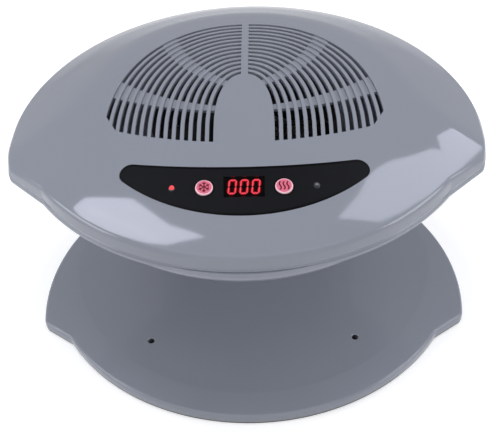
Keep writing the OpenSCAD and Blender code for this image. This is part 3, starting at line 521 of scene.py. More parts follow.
def crescent(grow=0.0, count=360):
    """Closed outline of lower arc, tips and upper arc, each moved out by grow. The middle of
    a tip lies LOW_R - TIP_R from the lower arc's centre and HIGH_R + TIP_R from the upper
    arc's."""
    near, far = LOW_R - TIP_R, HIGH_R + TIP_R
    y = (HIGH_Y ** 2 - LOW_Y ** 2 - far ** 2 + near ** 2) / (2 * (HIGH_Y - LOW_Y))
    x = math.sqrt(near ** 2 - (y - LOW_Y) ** 2)
    turn = math.degrees(math.atan2(y - LOW_Y, x))
    half = np.vstack([
        arc([0, LOW_Y], LOW_R + grow, -90, turn),
        arc([x, y], TIP_R + grow, turn, math.degrees(math.atan2(HIGH_Y - y, -x))),
        arc([0, HIGH_Y], HIGH_R - grow, math.degrees(math.atan2(y - HIGH_Y, x)), -90)])
    loop = np.vstack([mirrored(half), half[:1]])
    run = np.r_[0, np.cumsum(np.linalg.norm(np.diff(loop, axis=0), axis=1))]
    even = np.linspace(0, run[-1], count, endpoint=False)
    return np.stack([np.interp(even, run, loop[:, k]) for k in (0, 1)], -1)


print("crescent", np.ptp(crescent(), axis=0).round(1), "mm")

# %% [markdown]
# The recess tool follows the sphere 1.6 mm under its skin. The square hole is for the
# display, the round ones take the buttons and lamps, and all of them point out of the
# panel, so they are placed in a frame of its own: across, up the slope, and out of it.

# %% Panel frame and holes
PANEL_AHEAD = 85.3       # from the fan axis to the middle of the display
PANEL_TILT = math.asin((PANEL_AHEAD + HEAD["step"]) / FRONT_R)
PANEL_X = np.array([1.0, 0.0, 0.0])
PANEL_Z = np.array([0.0, -math.sin(PANEL_TILT), math.cos(PANEL_TILT)])
PANEL_Y = np.cross(PANEL_Z, PANEL_X)
PANEL_ORIGIN = np.array([0.0, HEAD["step"], FRONT_MID]) + FRONT_R * PANEL_Z
PANEL_MID = np.array([0.0, -85.0])
RECESS_SINK = 1.6
BUTTON_U, BUTTON_HOLE_R = 26.2, 6.25
LAMP_U, LAMP_V, LAMP_HOLE_R = 47.6, 1.9, 1.8
SQUARE = np.array([[-1, -1], [1, -1], [1, 1], [-1, 1]])


def on_panel(points):
    """Panel coordinates (across, up the slope, out of it) to points about the fan axis."""
    points = np.asarray(points, float)
    return (PANEL_ORIGIN + points[..., 0:1] * PANEL_X + points[..., 1:2] * PANEL_Y
            + points[..., 2:3] * PANEL_Z)


def lens(name, edge, top, bottom, shares=(0.25, 0.5, 0.75, 1.0)):
    """Closed body between two sinks under the front sphere, over one outline of the panel.
    Its rings are the outline drawn in towards the panel's middle by the given shares."""
    rings = [PANEL_MID + share * (edge - PANEL_MID) for share in shares]
    rows = [at(ring, front_height(*ring.T, top)) for ring in rings]
    rows += [at(ring, front_height(*ring.T, bottom)) for ring in rings[::-1]]
    poles = [[*PANEL_MID, float(front_height(*PANEL_MID, sink))] for sink in (top, bottom)]
    return skin(name, rows, start=poles[0], end=poles[1])


def panel_rod(name, u, v, radius, low, high):
    """Round tool or pin that stands out of the panel at (u, v)."""
    return rod(name, on_panel([u, v, 0.0]), radius, low, high, axis=PANEL_Z)


def panel_holes(name, half_u, half_v):
    """Tools for the display's square hole and for the round holes at both sides of it."""
    corners = [half_u, half_v] * SQUARE
    tools = [skin(f"{name}_window", [on_panel(at(corners, h)) for h in (-15, 15)], caps=True)]
    for u, v, radius in ((BUTTON_U, 0.0, BUTTON_HOLE_R), (LAMP_U, LAMP_V, LAMP_HOLE_R)):
        tools += [panel_rod(f"{name}_hole", side * u, v, radius, -15, 5) for side in (-1, 1)]
    return tools


recess = lens("recess", crescent(0.3), -4.0, RECESS_SINK)
cut(upper_cover, recess, *panel_holes("cover", 11.55, 7.3))
join_body(upper_cover, "housing", "upper_cover")
print("cover with panel recess", len(upper_cover.data.polygons), "faces")

# %% [markdown]
# ## Exact normals for a glossy dome
# Cutting leaves long thin triangles, and on a glossy skin their averaged normals would show
# as ripples. The dome's own formula knows the true normal everywhere, so every corner that
# lies on the dome gets it, and the rest keep what the faces give.

# %% Normals from the formula
CREASE_ANGLE = 32


def polish(piece, height, normal, reach=0.12):
    """Give corners within reach mm of the height function its normal, where their face
    already looks much the same way."""
    soften(piece, CREASE_ANGLE)
    mesh = piece.data
    normals = values_of(mesh.corner_normals, "vector")
    sizes = values_of(mesh.polygons, "loop_total", 1, np.int32)[:, 0]
    face = np.repeat(values_of(mesh.polygons, "normal"), sizes, axis=0)
    corner = values_of(mesh.loops, "vertex_index", 1, np.int32)[:, 0]
    x, y, z = from_frame(values_of(mesh.vertices, "co"))[corner].T
    true = normal(x, y)
    good = (np.abs(z - height(x, y)) < reach) & (np.einsum("ij,ij->i", face, true) > 0.93)
    normals[good] = true[good]
    mesh.normals_split_custom_set(normals.tolist())
    print(piece.name, "corners given the formula's normal:", int(good.sum()), "of", len(good))


polish(upper_cover, dome_height, dome_normal)

# %% [markdown]
# ## The lower cover
# Rim, bowl and outlet are one moulding. Every section through the fan axis has the same
# profile, only the rim reaches further where the outline does, so the skin is a profile
# carried round the axis with a radius that depends on the direction.

# %% Profile of bowl and rim
BOWL_R, BOWL_DEPTH, BOWL_Z = 138.0, 39.0, 175.5
INNER_R, INNER_DEPTH = 135.0, 36.0
RIM_Z, RIM_UNDER, RIM_PROUD = 176.8, 173.0, 0.5
OUTLET_R, COLLAR_R = 57.0, 62.4


def reach_of(edge, turn):
    """Distance from the axis to an outline in the given directions."""
    angle = np.arctan2(edge[:, 1], edge[:, 0])
    order = np.argsort(angle)
    return np.interp(turn, angle[order], np.hypot(*edge[order].T), period=2 * math.pi)


def ellipse_z(r, radius=BOWL_R, depth=BOWL_DEPTH):
    """Height of the bowl's ellipse at distance r."""
    return BOWL_Z - depth * np.sqrt(np.maximum(1 - (r / radius) ** 2, 0))


OUTLET_Z = ellipse_z(OUTLET_R) - 1


def lower_rings():
    """Rings of (radius, height): rim top, rounded rim edge, underside, bowl (r sin b,
    z - depth cos b), outlet lip, bore, collar and the bowl's inside. The rim's rounding
    shrinks where the outline comes close to the bowl."""
    edge = head_edge + RIM_PROUD * head_out
    turn = np.sort(np.arctan2(edge[:, 1], edge[:, 0]))
    far = np.maximum(reach_of(edge, turn), BOWL_R)
    r = np.clip((far - 137.78) * 0.9, 0.1, 1.0)
    rows = [(INNER_R, RIM_Z), (0.5 * (INNER_R + far - r), RIM_Z)]
    rows += [(far - inset, RIM_Z - drop) for inset, drop in quarter(r, [0, 30, 60, 90])]
    rows += [(far - inset, RIM_UNDER + lift) for inset, lift in quarter(r, [90, 60, 30, 0])]
    rows.append((0.5 * (far - r + 137.6), RIM_UNDER))
    rows += [(BOWL_R * math.sin(b), BOWL_Z - BOWL_DEPTH * math.cos(b))
             for b in np.radians(np.linspace(86.5, 28.5, 36))]
    rows.append((63.2, ellipse_z(63.2) + 0.02))
    rows += [(radius, OUTLET_Z + lift) for radius, lift in (
        (62.5, 1.2), (62.2, 0.4), (61.8, 0.0), (58.0, 0.0), (57.3, 0.2), (OUTLET_R, 0.8),
        (OUTLET_R, 2.4), (60.0, 2.4), (60.0, 11.0), (COLLAR_R, 11.0))]
    rows.append((COLLAR_R, ellipse_z(COLLAR_R, INNER_R, INNER_DEPTH)))
    rows += [(INNER_R * math.sin(b), BOWL_Z - INNER_DEPTH * math.cos(b))
             for b in np.radians(np.linspace(29, 90, 26))]
    way = np.stack([np.cos(turn), np.sin(turn)], -1)
    return np.stack([at(np.reshape(radius, (-1, 1)) * way, z) for radius, z in rows])


SENSOR_X, SENSOR_Y = 81.0, -44.3
SCREW_R, SCREW_TURNS = 146.0, np.radians([-18, 22, 46, 134, 158, 198])

lower_cover = skin("lower_cover_skin", lower_rings(), closed=True)
wells = [rod("well", (SCREW_R * math.cos(a), SCREW_R * math.sin(a), 0), 3.1, 170, RIM_UNDER + 1.4)
         for a in SCREW_TURNS]
wells += [rod("sensor_bore", (side * SENSOR_X, SENSOR_Y, 0), 1.8, 120, 190) for side in (-1, 1)]
cut(lower_cover, *wells)
soften(lower_cover, CREASE_ANGLE)
join_body(lower_cover, "housing", "lower_cover")
print("lower cover faces", len(lower_cover.data.polygons))

# %% [markdown]
# ## The hand plate
# The base is a flat plate with a rounded lip. The hands lie in a shallow dish whose edge
# follows two circles. It is a bowl only 2 mm deep that meets the flat border in a soft
# crease, so the two differ by a faint step of tone. At the back the column stands on a pad.

# %% Hand plate
BASE_TOP, BASE_ROOF, BASE_FOOT = 9.5, 5.7, 2.0     # top, inside and lower edge of the shell
BASE_MID = np.array([0.0, 22.0])
DISH, DISH_POWER, DISH_REAR_R, DISH_FRONT_R = 2.0, 9, 159.0, 147.5
PLATE_LIP_R, FOOT_R = 2.2, 0.4


def ray_to_circle(turn, centre, radius):
    """Distance from the plate's middle to a circle: -(d.e) + sqrt((d.e)^2 - |d|^2 + R^2)."""
    e = np.stack([np.cos(turn), np.sin(turn)], -1)
    d = BASE_MID - centre
    along = e @ d
    return -along + np.sqrt(along ** 2 - d @ d + radius ** 2)


def plate_rings():
    """Dish as a bowl, DISH (1 - s^9) deep at the share s of the way to its edge, the flat
    border, the lip as a quarter circle, the wall and the hollow underside."""
    edge, out = base_edge, base_out
    turn = np.arctan2(edge[:, 1] - BASE_MID[1], edge[:, 0] - BASE_MID[0])
    e = np.stack([np.cos(turn), np.sin(turn)], -1)
    rear = ray_to_circle(turn, np.array([0.0, 0.0]), DISH_REAR_R)
    front = ray_to_circle(turn, np.array([0.0, BASE["step"]]), DISH_FRONT_R)
    dish = soft_min(rear, front, 6.0)
    rows = []
    for s in 1 - (1 - np.linspace(0.04, 0.98, 34)) ** 1.7:
        floor_z = BASE_TOP - DISH * (1 - s ** DISH_POWER)
        rows.append(at(BASE_MID + e * dish[:, None] * s, floor_z))
    start = BASE_MID + e * (dish + 0.4)[:, None]
    flat = edge - out * (PLATE_LIP_R + 0.2)
    rows += [at(start + (flat - start) * t, BASE_TOP) for t in (0.0, 0.3, 0.65, 1.0)]
    rows += [at(edge - out * inset, BASE_TOP - drop)
             for inset, drop in quarter(PLATE_LIP_R, np.linspace(0, 90, 8))]
    rows.append(at(edge, 5.0))
    rows += [at(edge - out * inset, BASE_FOOT + lift)
             for lift, inset in quarter(FOOT_R, [0, 45, 90])]
    rows += [at(edge - out * 1.8, z) for z in (BASE_FOOT, BASE_ROOF)]
    return np.stack(rows)


base_cover = skin("base_cover_skin", plate_rings(), start=[*BASE_MID, BASE_TOP - DISH],
                  end=[*BASE_MID, BASE_ROOF])
print("hand plate faces", len(base_cover.data.polygons))

# %% [markdown]
# ## Sensor holes
# Two infrared sensors look up through countersunk holes in the plate and tell that hands are
# there. Hole and lens are round, so a short profile turned about an upright axis makes both.

# %% Holes and lenses of the sensors
SENSOR_HOLE = [(2.5, 1.0), (2.5, 7.0), (2.7, 7.25), (3.7, 8.25), (3.7, 20.0)]
SENSOR_LENS = [(2.45, 6.92), (2.45, 7.1), (1.6, 7.4), (0.4, 7.5)]


def circle(u, v, r, sides):
    """Points (u + r cos t, v + r sin t) of a circle in its plane."""
    t = np.linspace(0, 2 * math.pi, sides, endpoint=False)
    return np.column_stack([u + r * np.cos(t), v + r * np.sin(t)])


def at_sensors(name, profile, sides=48):
    """A profile of (radius, height) turned about an upright axis over each sensor."""
    return [skin(name, [at(circle(side * SENSOR_X, SENSOR_Y, r, sides), z) for r, z in profile],
                 caps=True) for side in (-1, 1)]


def group(name, pieces, body, angle=30):
    """Merge pieces into one that is shaded smoothly and rides on a body."""
    piece = merge(name, pieces)
    soften(piece, angle)
    return join_body(piece, body)


cut(base_cover, *at_sensors("sensor_hole", SENSOR_HOLE))
soften(base_cover, CREASE_ANGLE)
join_body(base_cover, "housing", "base_cover")
group("sensor_lens", at_sensors("lens", SENSOR_LENS), "housing", 40)
print("hand plate with its holes", len(base_cover.data.polygons), "faces")

# %% [markdown]
# ## Pad, gap and screw posts
# The column's pad is part of a ring about the fan axis. Under the plate's edge a dark strip
# closes the gap to the table, its black partly painted shade for the shadow in that gap, and
# eight posts take the screws of the closing plate.

# %% Pad, strip and posts
POST_RING = BODY_R - 12.0
REAR_TURNS, FRONT_TURNS = (8, 44, 136, 172), (-108, -72, -44, -136)


def sector_block(name, inner, outer, half, low, high, r):
    """Part of a ring centred on the back, its upper edges rounded by r. Each ring of points
    is the sector's outline drawn in and lowered by a quarter circle."""
    def loop(inset):
        a = math.degrees(inset / outer)
        return np.vstack([arc([0, 0], outer - inset, 90 - half + a, 90 + half - a, 3),
                          arc([0, 0], inner + inset, 90 + half - a, 90 - half + a, 3)])
    rows = [at(loop(0.0), low), at(loop(0.0), high - r)]
    size = len(rows[0])
    for inset, drop in quarter(r, [60, 30, 0]):
        ring = loop(inset)
        share = np.linspace(0, len(ring) - 1, size)
        ring = np.stack([np.interp(share, np.arange(len(ring)), ring[:, k]) for k in (0, 1)], -1)
        rows.append(at(ring, high - drop))
    return skin(name, rows, caps=True)


pad = sector_block("column_pad", 108.0, 147.0, 43.5, 6.5, BASE_TOP, 0.6)
join_body(pad, "housing")
# dark strip under the plate's edge: partly painted shade for the shadow gap at the table
section = ((0.5, BASE_FOOT), (0.5, 0.7), (1.7, 0.7), (1.7, BASE_FOOT))
strip_rows = [at(base_edge - base_out * inset, z) for inset, z in section]
strip = skin("foot_strip_gap_shade", strip_rows, closed=True)
join_body(strip, "housing")
spots = [[POST_RING * math.cos(a), POST_RING * math.sin(a) + centre_y, 0.0]
         for centre_y, turns in ((BASE["step"], FRONT_TURNS), (0.0, REAR_TURNS))
         for a in np.radians(turns)]
base_posts = merge("base_posts", [rod("post", spot, 4.0, BASE_FOOT, 6.0) for spot in spots])
cut(base_posts, merge("pilots", [rod("pilot", spot, 1.5, 1.0, 5.2) for spot in spots]))
soften(base_posts)
join_body(base_posts, "housing")
print("pad", len(pad.data.polygons), "strip", len(strip.data.polygons), "posts", len(spots))

# %% [markdown]
# ## Panel, window and display
# The panel plate is dark satin plastic with a thin glossy rim, both laid on the front
# sphere. Behind the red window sits a three-digit module.

# %% Panel plate and rim
RIM_WIDE, PLATE_SINK, PLATE_UNDER = 1.3, 0.12, 1.55


def sphere_strip(name, outer, inner, top, bottom):
    """Frame between two plan outlines on the sphere, top and bottom at given sinks."""
    rows = [at(outer, front_height(*outer.T, bottom)), at(outer, front_height(*outer.T, top)),
            at(inner, front_height(*inner.T, top)), at(inner, front_height(*inner.T, bottom))]
    return skin(name, rows, closed=True)


panel_plate = lens("panel_plate", crescent(-RIM_WIDE), PLATE_SINK, PLATE_UNDER,
                   shares=(0.15, 0.3, 0.45, 0.6, 0.75, 0.9, 1.0))
panel_rim = sphere_strip("panel_rim", crescent(), crescent(-RIM_WIDE), 0.02, PLATE_UNDER)
cut(panel_plate, *panel_holes("plate", 13.5, 8.0))
soften(panel_plate)
join_body(panel_plate, "housing", "control_panel")
join_body(panel_rim, "housing")
print("panel plate", len(panel_plate.data.polygons), "faces")

# %% [markdown]
# A digit is seven bars with pointed ends, so one bar shape, turned and shifted, draws it,
# and the ends of the bars leave the small gaps that such digits have. Every digit shows 0,
# which leaves out the middle bar. A second, wider set of bars just below is the spill of
# red light round them.

# %% Digits
DIGIT_PITCH, DIGIT_UP, DIGIT_TOP = 7.77, 0.8, -2.1


def bar(name, points, high, low):
    """Flat bar with an outline in panel coordinates between two heights."""
    ring = np.asarray(points, float)
    return skin(name, [on_panel(at(ring, low)), on_panel(at(ring, high))], caps=True)


def digit_bars(middle, width=4.5, height=10.3, thick=0.95, slant=0.08):
    """Outer six bars of a seven-bar digit that shows 0: pointed hexagons along the edges of
    two stacked squares, sheared by slant."""
    w, h, t, g = width / 2, height / 2, thick / 2, 0.15
    flat = np.array([[-w + g, 0], [-w + g + t, t], [w - g - t, t],
                     [w - g, 0], [w - g - t, -t], [-w + g + t, -t]])
    tall = np.array([[0, g], [t, g + t], [t, h - g - t],
                     [0, h - g], [-t, h - g - t], [-t, g + t]])
    shapes = [flat + [0, h], flat - [0, h]]
    shapes += [tall + [side * w, low] for side in (-1, 1) for low in (0, -h)]
    return [shape + np.c_[shape[:, 1] * slant, 0 * shape[:, 1]] + middle for shape in shapes]


digits, halos = [], []
for x in (-DIGIT_PITCH, 0.0, DIGIT_PITCH):
    middle = np.array([x, DIGIT_UP])
    digits += [bar("bar", shape, DIGIT_TOP + 0.2, DIGIT_TOP + 0.08)
               for shape in digit_bars(middle)]
    halos += [bar("halo", shape, DIGIT_TOP + 0.04, DIGIT_TOP - 0.3)
              for shape in digit_bars(middle, thick=2.2)]
print("display bars", len(digits), "and", len(halos), "of spill")
join_body(merge("digit_light", digits), "housing")
join_body(merge("digit_halo", halos), "housing")

# %% [markdown]
# ## Buttons with pictograms
# The two round buttons are translucent pink caps with a paler bevel. A cap is a profile
# turned about its own axis: domed top, rounded edge, skirt, flange and stem. It stands
# 0.8 mm over the sphere, which falls by u^2 / 2R at the distance u from the panel's middle.

# %% Button caps
BUTTON_TOP = 0.8 - BUTTON_U ** 2 / (2 * FRONT_R)
FLANGE_Z = BUTTON_TOP - 4.45
CAP = [(1.5, 0.0), (3.0, 0.01), (4.4, 0.04), (4.9, 0.08), (5.3, 0.17), (5.6, 0.34), (5.8, 0.6),
       (5.88, 1.0)]      # radius, depth under the top
FLANGE = [(5.9, 0.0), (7.1, 0.0), (7.1, 1.0), (1.75, 1.0), (1.75, 1.2)]


def button(name, u, body, node):
    """Cap turned about the panel's normal at a distance u across."""
    profile = [(r, BUTTON_TOP - depth) for r, depth in CAP]
    profile += [(r, FLANGE_Z - depth) for r, depth in FLANGE]
    rows = [on_panel(at(circle(u, 0.0, r, 64), z)) for r, z in profile]
    piece = skin(name, rows, start=on_panel([u, 0, BUTTON_TOP]),
                 end=on_panel([u, 0, profile[-1][1]]), angle=50)
    join_body(piece, body, node)


button("cool_button_cap", -BUTTON_U, "cool_button", "cool_button")
button("hot_button_cap", BUTTON_U, "hot_button", "hot_button")
print("button top", round(BUTTON_TOP, 2), "mm over the panel's middle plane")

# %% [markdown]
# Instead of words the caps carry pictograms: a snowflake for cool air and three rising
# waves for hot air. They are printed in dark red, so they are flat figures a tenth of a
# millimetre high, each drawn as ribbons along its lines.

# %% Pictograms
INK_TOP, INK_UNDER = BUTTON_TOP + 0.08, BUTTON_TOP - 0.2


def stroke(name, line, width, high, low):
    """Flat ribbon along a line of points in panel coordinates: each point is moved by half
    the width to both sides of the line's direction."""
    line = np.asarray(line, float)
    way = np.gradient(line, axis=0)
    way /= np.linalg.norm(way, axis=1)[:, None]
    side = np.stack([-way[:, 1], way[:, 0]], -1) * width / 2
    return bar(name, np.vstack([line + side, (line - side)[::-1]]), high, low)


def snowflake(u):
    """Six arms along the direction e, each with two barbs that lean to both sides, f."""
    pieces = []
    for a in np.radians(np.arange(30, 390, 60)):
        e, f = np.array([math.cos(a), math.sin(a)]), np.array([-math.sin(a), math.cos(a)])
        arm = [[u, 0] + e * 0.25, [u, 0] + e * 3.9]
        pieces.append(stroke("arm", arm, 0.8, INK_TOP, INK_UNDER))
        for side in (-1, 1):
            barb = [[u, 0] + e * 2.1, [u, 0] + e * 3.2 + f * side * 1.2]
            pieces.append(stroke("barb", barb, 0.6, INK_TOP - 0.005, INK_UNDER))
    return pieces


def heat_waves(u):
    """Three upright waves x = 0.6 sin(2 pi t), 6.2 mm high."""
    t = np.linspace(0, 1, 24)
    x, y = u + 0.6 * np.sin(2 * math.pi * t), 6.2 * t - 3.1
    return [stroke("wave", np.column_stack([x + shift, y]), 0.95, INK_TOP, INK_UNDER)
            for shift in (-2.5, 0.0, 2.5)]


join_body(merge("cool_mark", snowflake(-BUTTON_U)), "cool_button")
join_body(merge("hot_mark", heat_waves(BUTTON_U)), "hot_button")
print("pictograms over the caps by", round(INK_TOP - BUTTON_TOP, 2), "mm")

# %% [markdown]
# A thin black ring round each button's hole is painted shade for the dark gap round the cap,
# and a small grey bezel holds each lamp. Both are rings with a profile of radius and height
# over the panel's skin.

# %% Shade rings round the buttons, and lamp bezels
GAP_SHADE_RING = [(6.25, -1.2), (6.25, 0.02), (6.4, 0.06), (6.9, 0.02), (7.0, -0.3), (7.0, -1.2)]
BEZEL = [(1.55, -0.9), (1.55, 0.1), (1.75, 0.3), (2.1, 0.25), (2.3, -0.1), (2.3, -0.9)]


def panel_ring(name, u, v, profile, sides=64):
    """Ring round (u, v) of the panel: its profile is turned about the panel's normal and
    laid on the sphere."""
    rows = []
    for r, lift in profile:
        x, y, _ = on_panel(at(circle(u, v, r, sides), 0.0)).T
        rows.append(np.column_stack([x, y, front_height(x, y, -lift)]))
    return skin(name, rows, closed=True)


# black rings round the button holes: painted shade for the gap round each cap
group("button_gap_shade_rings", [panel_ring("collar", side * BUTTON_U, 0.0, GAP_SHADE_RING) for side in (-1, 1)],
      "housing", 40)
group("lamp_bezels", [panel_ring("bezel", side * LAMP_U, LAMP_V, BEZEL) for side in (-1, 1)],
      "housing", 40)
print("collars and bezels are on the panel")

# %% [markdown]
# ## Materials
# Hex colours are written as a designer gives them, and one function turns them to the linear
# values that Blender's sockets want. One more function adds a node with its settings and
# links, so that each material reads as a short list.

# %% Colour and node helpers
def linear(code):
    """sRGB hex to linear: c / 12.92 below 0.04045, else ((c + 0.055) / 1.055) ^ 2.4."""
    c = np.array([int(code[k:k + 2], 16) for k in (1, 3, 5)]) / 255
    return (*np.where(c <= 0.04045, c / 12.92, ((c + 0.055) / 1.055) ** 2.4), 1.0)


def add(tree, kind, inputs=None, **settings):
    """New node of a kind. inputs maps socket names to values, or to another node's output."""
    made = tree.nodes.new(kind)
    for key, value in settings.items():
        setattr(made, key, value)
    for key, value in (inputs or {}).items():
        if isinstance(value, bpy.types.NodeSocket):
            tree.links.new(value, made.inputs[key])
        else:
            made.inputs[key].default_value = value
    return made


def material(name):
    """Empty material: its tree, its principled shader and the object's coordinates."""
    made = bpy.data.materials.new(name)
    made.use_nodes = True
    tree = made.node_tree
    tree.nodes.clear()
    shader = add(tree, "ShaderNodeBsdfPrincipled")
    add(tree, "ShaderNodeOutputMaterial", {"Surface": shader.outputs[0]})
    place = add(tree, "ShaderNodeTexCoord").outputs["Object"]
    return made, tree, shader, place


def moulded(name, spread, rough, grain_mm, bump, level=0.5, patch_mm=90.0, strength=0.15):
    """Moulded plastic: colour drifts a little over patch_mm, roughness drifts with it, and
    the fine grain of the mould, grain_mm wide, lifts the skin by bump mm."""
    made, tree, shader, place = material(name)
    drift = add(tree, "ShaderNodeTexNoise",
                {"Vector": place, "Scale": 1000 / patch_mm, "Detail": 2.0}).outputs["Fac"]
    grain = add(tree, "ShaderNodeTexNoise",
                {"Vector": place, "Scale": 1000 / grain_mm, "Detail": 2.0}).outputs["Fac"]
    low, high = (linear(code) for code in spread)
    tint = add(tree, "ShaderNodeMix", {0: drift, 6: low, 7: high}, data_type="RGBA")
    tree.links.new(tint.outputs[2], shader.inputs["Base Color"])
    haze = add(tree, "ShaderNodeMapRange", {
        "Value": drift, "From Min": 0.3, "From Max": 0.7,
        "To Min": rough * 0.85, "To Max": rough * 1.15})
    tree.links.new(haze.outputs["Result"], shader.inputs["Roughness"])
    lift = add(tree, "ShaderNodeBump",
               {"Height": grain, "Strength": strength, "Distance": bump / 1000})
    tree.links.new(lift.outputs["Normal"], shader.inputs["Normal"])
    shader.inputs["Specular IOR Level"].default_value = level
    return made


def paint(made, *names):
    """Give a material to pieces or CAD nodes by name."""
    for name in names:
        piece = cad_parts.get(name) or bpy.data.objects[name]
        piece.data.materials.clear()
        piece.data.materials.append(made)


print("colour and node helpers are ready")

# %% [markdown]
# ## Shells and panel
# ABS from a polished mould: the skin mirrors soft boxes as sharp patches, and under them
# the colour stays an even blue-grey. The panel's polycarbonate has a satin mould, which
# spreads a reflection until it is gone, and a glossy rim. The walls of the recess that
# holds it are painted black too, as painted shade, or they would show as a pale line round the
# window.

# %% Materials of the shells and the panel
shell_abs = moulded("abs_blue_grey_gloss", ("#848892", "#888c96"), 0.06, 0.8, 0.004,
                    level=0.45, strength=0.05)
panel_satin = moulded("polycarbonate_charcoal_satin", ("#0e0f12", "#131417"), 0.5, 0.35, 0.01,
                      level=0.1, strength=0.4)
# black gloss for the panel's rim, also used as painted shade on the button rings and the recess
# walls
panel_gloss_and_shade = moulded("polycarbonate_black_gloss_and_painted_shade", ("#020203", "#050506"), 0.3, 0.6, 0.004,
                      level=0.1)
paint(shell_abs, "upper_cover_skin", "lower_cover_skin", "base_cover_skin", "column_pad",
      "base_posts", "neck_front", "neck_back")
paint(panel_satin, "panel_plate")
paint(panel_gloss_and_shade, "panel_rim", "button_gap_shade_rings")


def paint_recess_shade(piece, made, grow=0.6, sink=0.4):
    """Second material, as painted shade, for the faces inside the crescent, grown by grow,
    whose middle lies deeper than sink under the front sphere. Faces far away are compared
    with the nearest place that the sphere surely reaches, hence the clips."""
    mesh = piece.data
    x, y, z = from_frame(values_of(mesh.polygons, "center")).T
    inside = np.hypot(x, y - LOW_Y) < LOW_R + grow
    inside &= np.hypot(x, y - HIGH_Y) > HIGH_R - grow
    inside &= np.abs(x) < np.max(crescent()) + grow
    inside &= front_height(np.clip(x, -100, 100), np.clip(y, -200, 0)) - z > sink
    mesh.materials.append(made)
    mesh.polygons.foreach_set("material_index", inside.astype(np.int32))
    return int(inside.sum())


# the recess's walls and floor get the black as painted shade
print("recess faces painted black:", paint_recess_shade(upper_cover, panel_gloss_and_shade))

# %% [markdown]
# ## Window, display, lamps and buttons
# The window is red-tinted acrylic: light goes through, but only the red comes back. Lit bars
# and lamps glow by themselves, and the caps are soft silicone, a little see-through, whose
# skirts are painted near black as painted shade for the dark of their holes.

# %% Window, display, lamps and buttons
def clear_red():
    """Red-tinted acrylic: smooth, lets light through, swallows all but red. Acrylic's IOR
    is 1.49, and 1.2 keeps the mirroring as faint as on a thin lens."""
    made, tree, shader, place = material("acrylic_red_tinted")
    haze = add(tree, "ShaderNodeTexNoise", {"Vector": place, "Scale": 1000 / 6.0})
    rough = add(tree, "ShaderNodeMapRange",
                {"Value": haze.outputs["Fac"], "To Min": 0.02, "To Max": 0.05})
    tree.links.new(rough.outputs["Result"], shader.inputs["Roughness"])
    shader.inputs["Base Color"].default_value = linear("#6a3238")
    shader.inputs["Transmission Weight"].default_value = 1.0
    shader.inputs["IOR"].default_value = 1.2
    return made


def glowing(name, colour, strength, core):
    """Lit plastic: the light colour is strongest in the middle of the noise's cells."""
    made, tree, shader, place = material(name)
    cells = add(tree, "ShaderNodeTexNoise", {"Vector": place, "Scale": 1000 / 1.2})
    tint = add(tree, "ShaderNodeMix",
               {0: cells.outputs["Fac"], 6: linear(colour), 7: linear(core)}, data_type="RGBA")
    tree.links.new(tint.outputs[2], shader.inputs["Emission Color"])
    shader.inputs["Base Color"].default_value = linear(colour)
    shader.inputs["Emission Strength"].default_value = strength
    shader.inputs["Roughness"].default_value = 0.3
    return made


def pink_cap(side):
    """Translucent pink cap: a paler bevel starts 4.9 mm from the middle of its top, and past
    6.1 mm the skirt is painted almost black, as painted shade for the dark hole it sinks in."""
    made, tree, shader, place = material(f"silicone_pink_{'left' if side < 0 else 'right'}")
    centre = to_frame(on_panel([side * BUTTON_U, 0.0, 0.0]))
    moved = add(tree, "ShaderNodeMapping", {"Vector": place, "Location": tuple(-centre)})
    far = add(tree, "ShaderNodeVectorMath", {0: moved.outputs[0]}, operation="LENGTH")
    far = far.outputs["Value"]
    bevel = add(tree, "ShaderNodeMapRange", {"Value": far, "From Min": 0.0049, "From Max": 0.0053},
                interpolation_type="SMOOTHSTEP")
    tint = add(tree, "ShaderNodeMix", {
        0: bevel.outputs["Result"], 6: linear("#dc6c86"), 7: linear("#f6ccd4")}, data_type="RGBA")
    # past 6.1 mm the colour turns near black: painted shade for the skirt sunk in its hole
    skirt = add(tree, "ShaderNodeMapRange", {"Value": far, "From Min": 0.0061, "From Max": 0.0065})
    tint = add(tree, "ShaderNodeMix", {
        0: skirt.outputs["Result"], 6: tint.outputs[2], 7: linear("#1c0c10")}, data_type="RGBA")
    tree.links.new(tint.outputs[2], shader.inputs["Base Color"])
    shader.inputs["Roughness"].default_value = 0.35
    shader.inputs["Subsurface Weight"].default_value = 0.1
    shader.inputs["Subsurface Scale"].default_value = 0.002
    return made


paint(clear_red(), "display_window")
paint(moulded("epoxy_black", ("#080405", "#0d0708"), 0.5, 0.4, 0.005), "digit_display")
paint(glowing("led_red_bars", "#ff8aa0", 7.0, "#ffb0c0"), "digit_light")
paint(glowing("led_red_spill", "#ff2a3a", 1.5, "#ff3a4a"), "digit_halo")
paint(glowing("led_red_lamp", "#ff1018", 1.5, "#ff5a60"), "cool_lamp")
paint(moulded("lamp_bezel_smoke", ("#323338", "#3d3e43"), 0.25, 0.5, 0.004), "lamp_bezels")
paint(moulded("led_clear_dark", ("#55565c", "#6b6c72"), 0.15, 0.5, 0.004), "hot_lamp")
paint(pink_cap(-1), "cool_button_cap")
paint(pink_cap(1), "hot_button_cap")
paint(moulded("printing_ink_dark_red", ("#640a1c", "#72101e"), 0.5, 0.3, 0.005, level=0.2),
      "cool_mark", "hot_mark")
print("materials so far", len(bpy.data.materials))

# %% [markdown]
# ## Inside parts and underside
# They show through the slots, from below and from the back, so each gets its own finish:
# matt black polyamide for what stands in the air stream, rubber for the feet, green
# glass-epoxy boards, mica that carries the heater, and lacquered steel for the transformer.

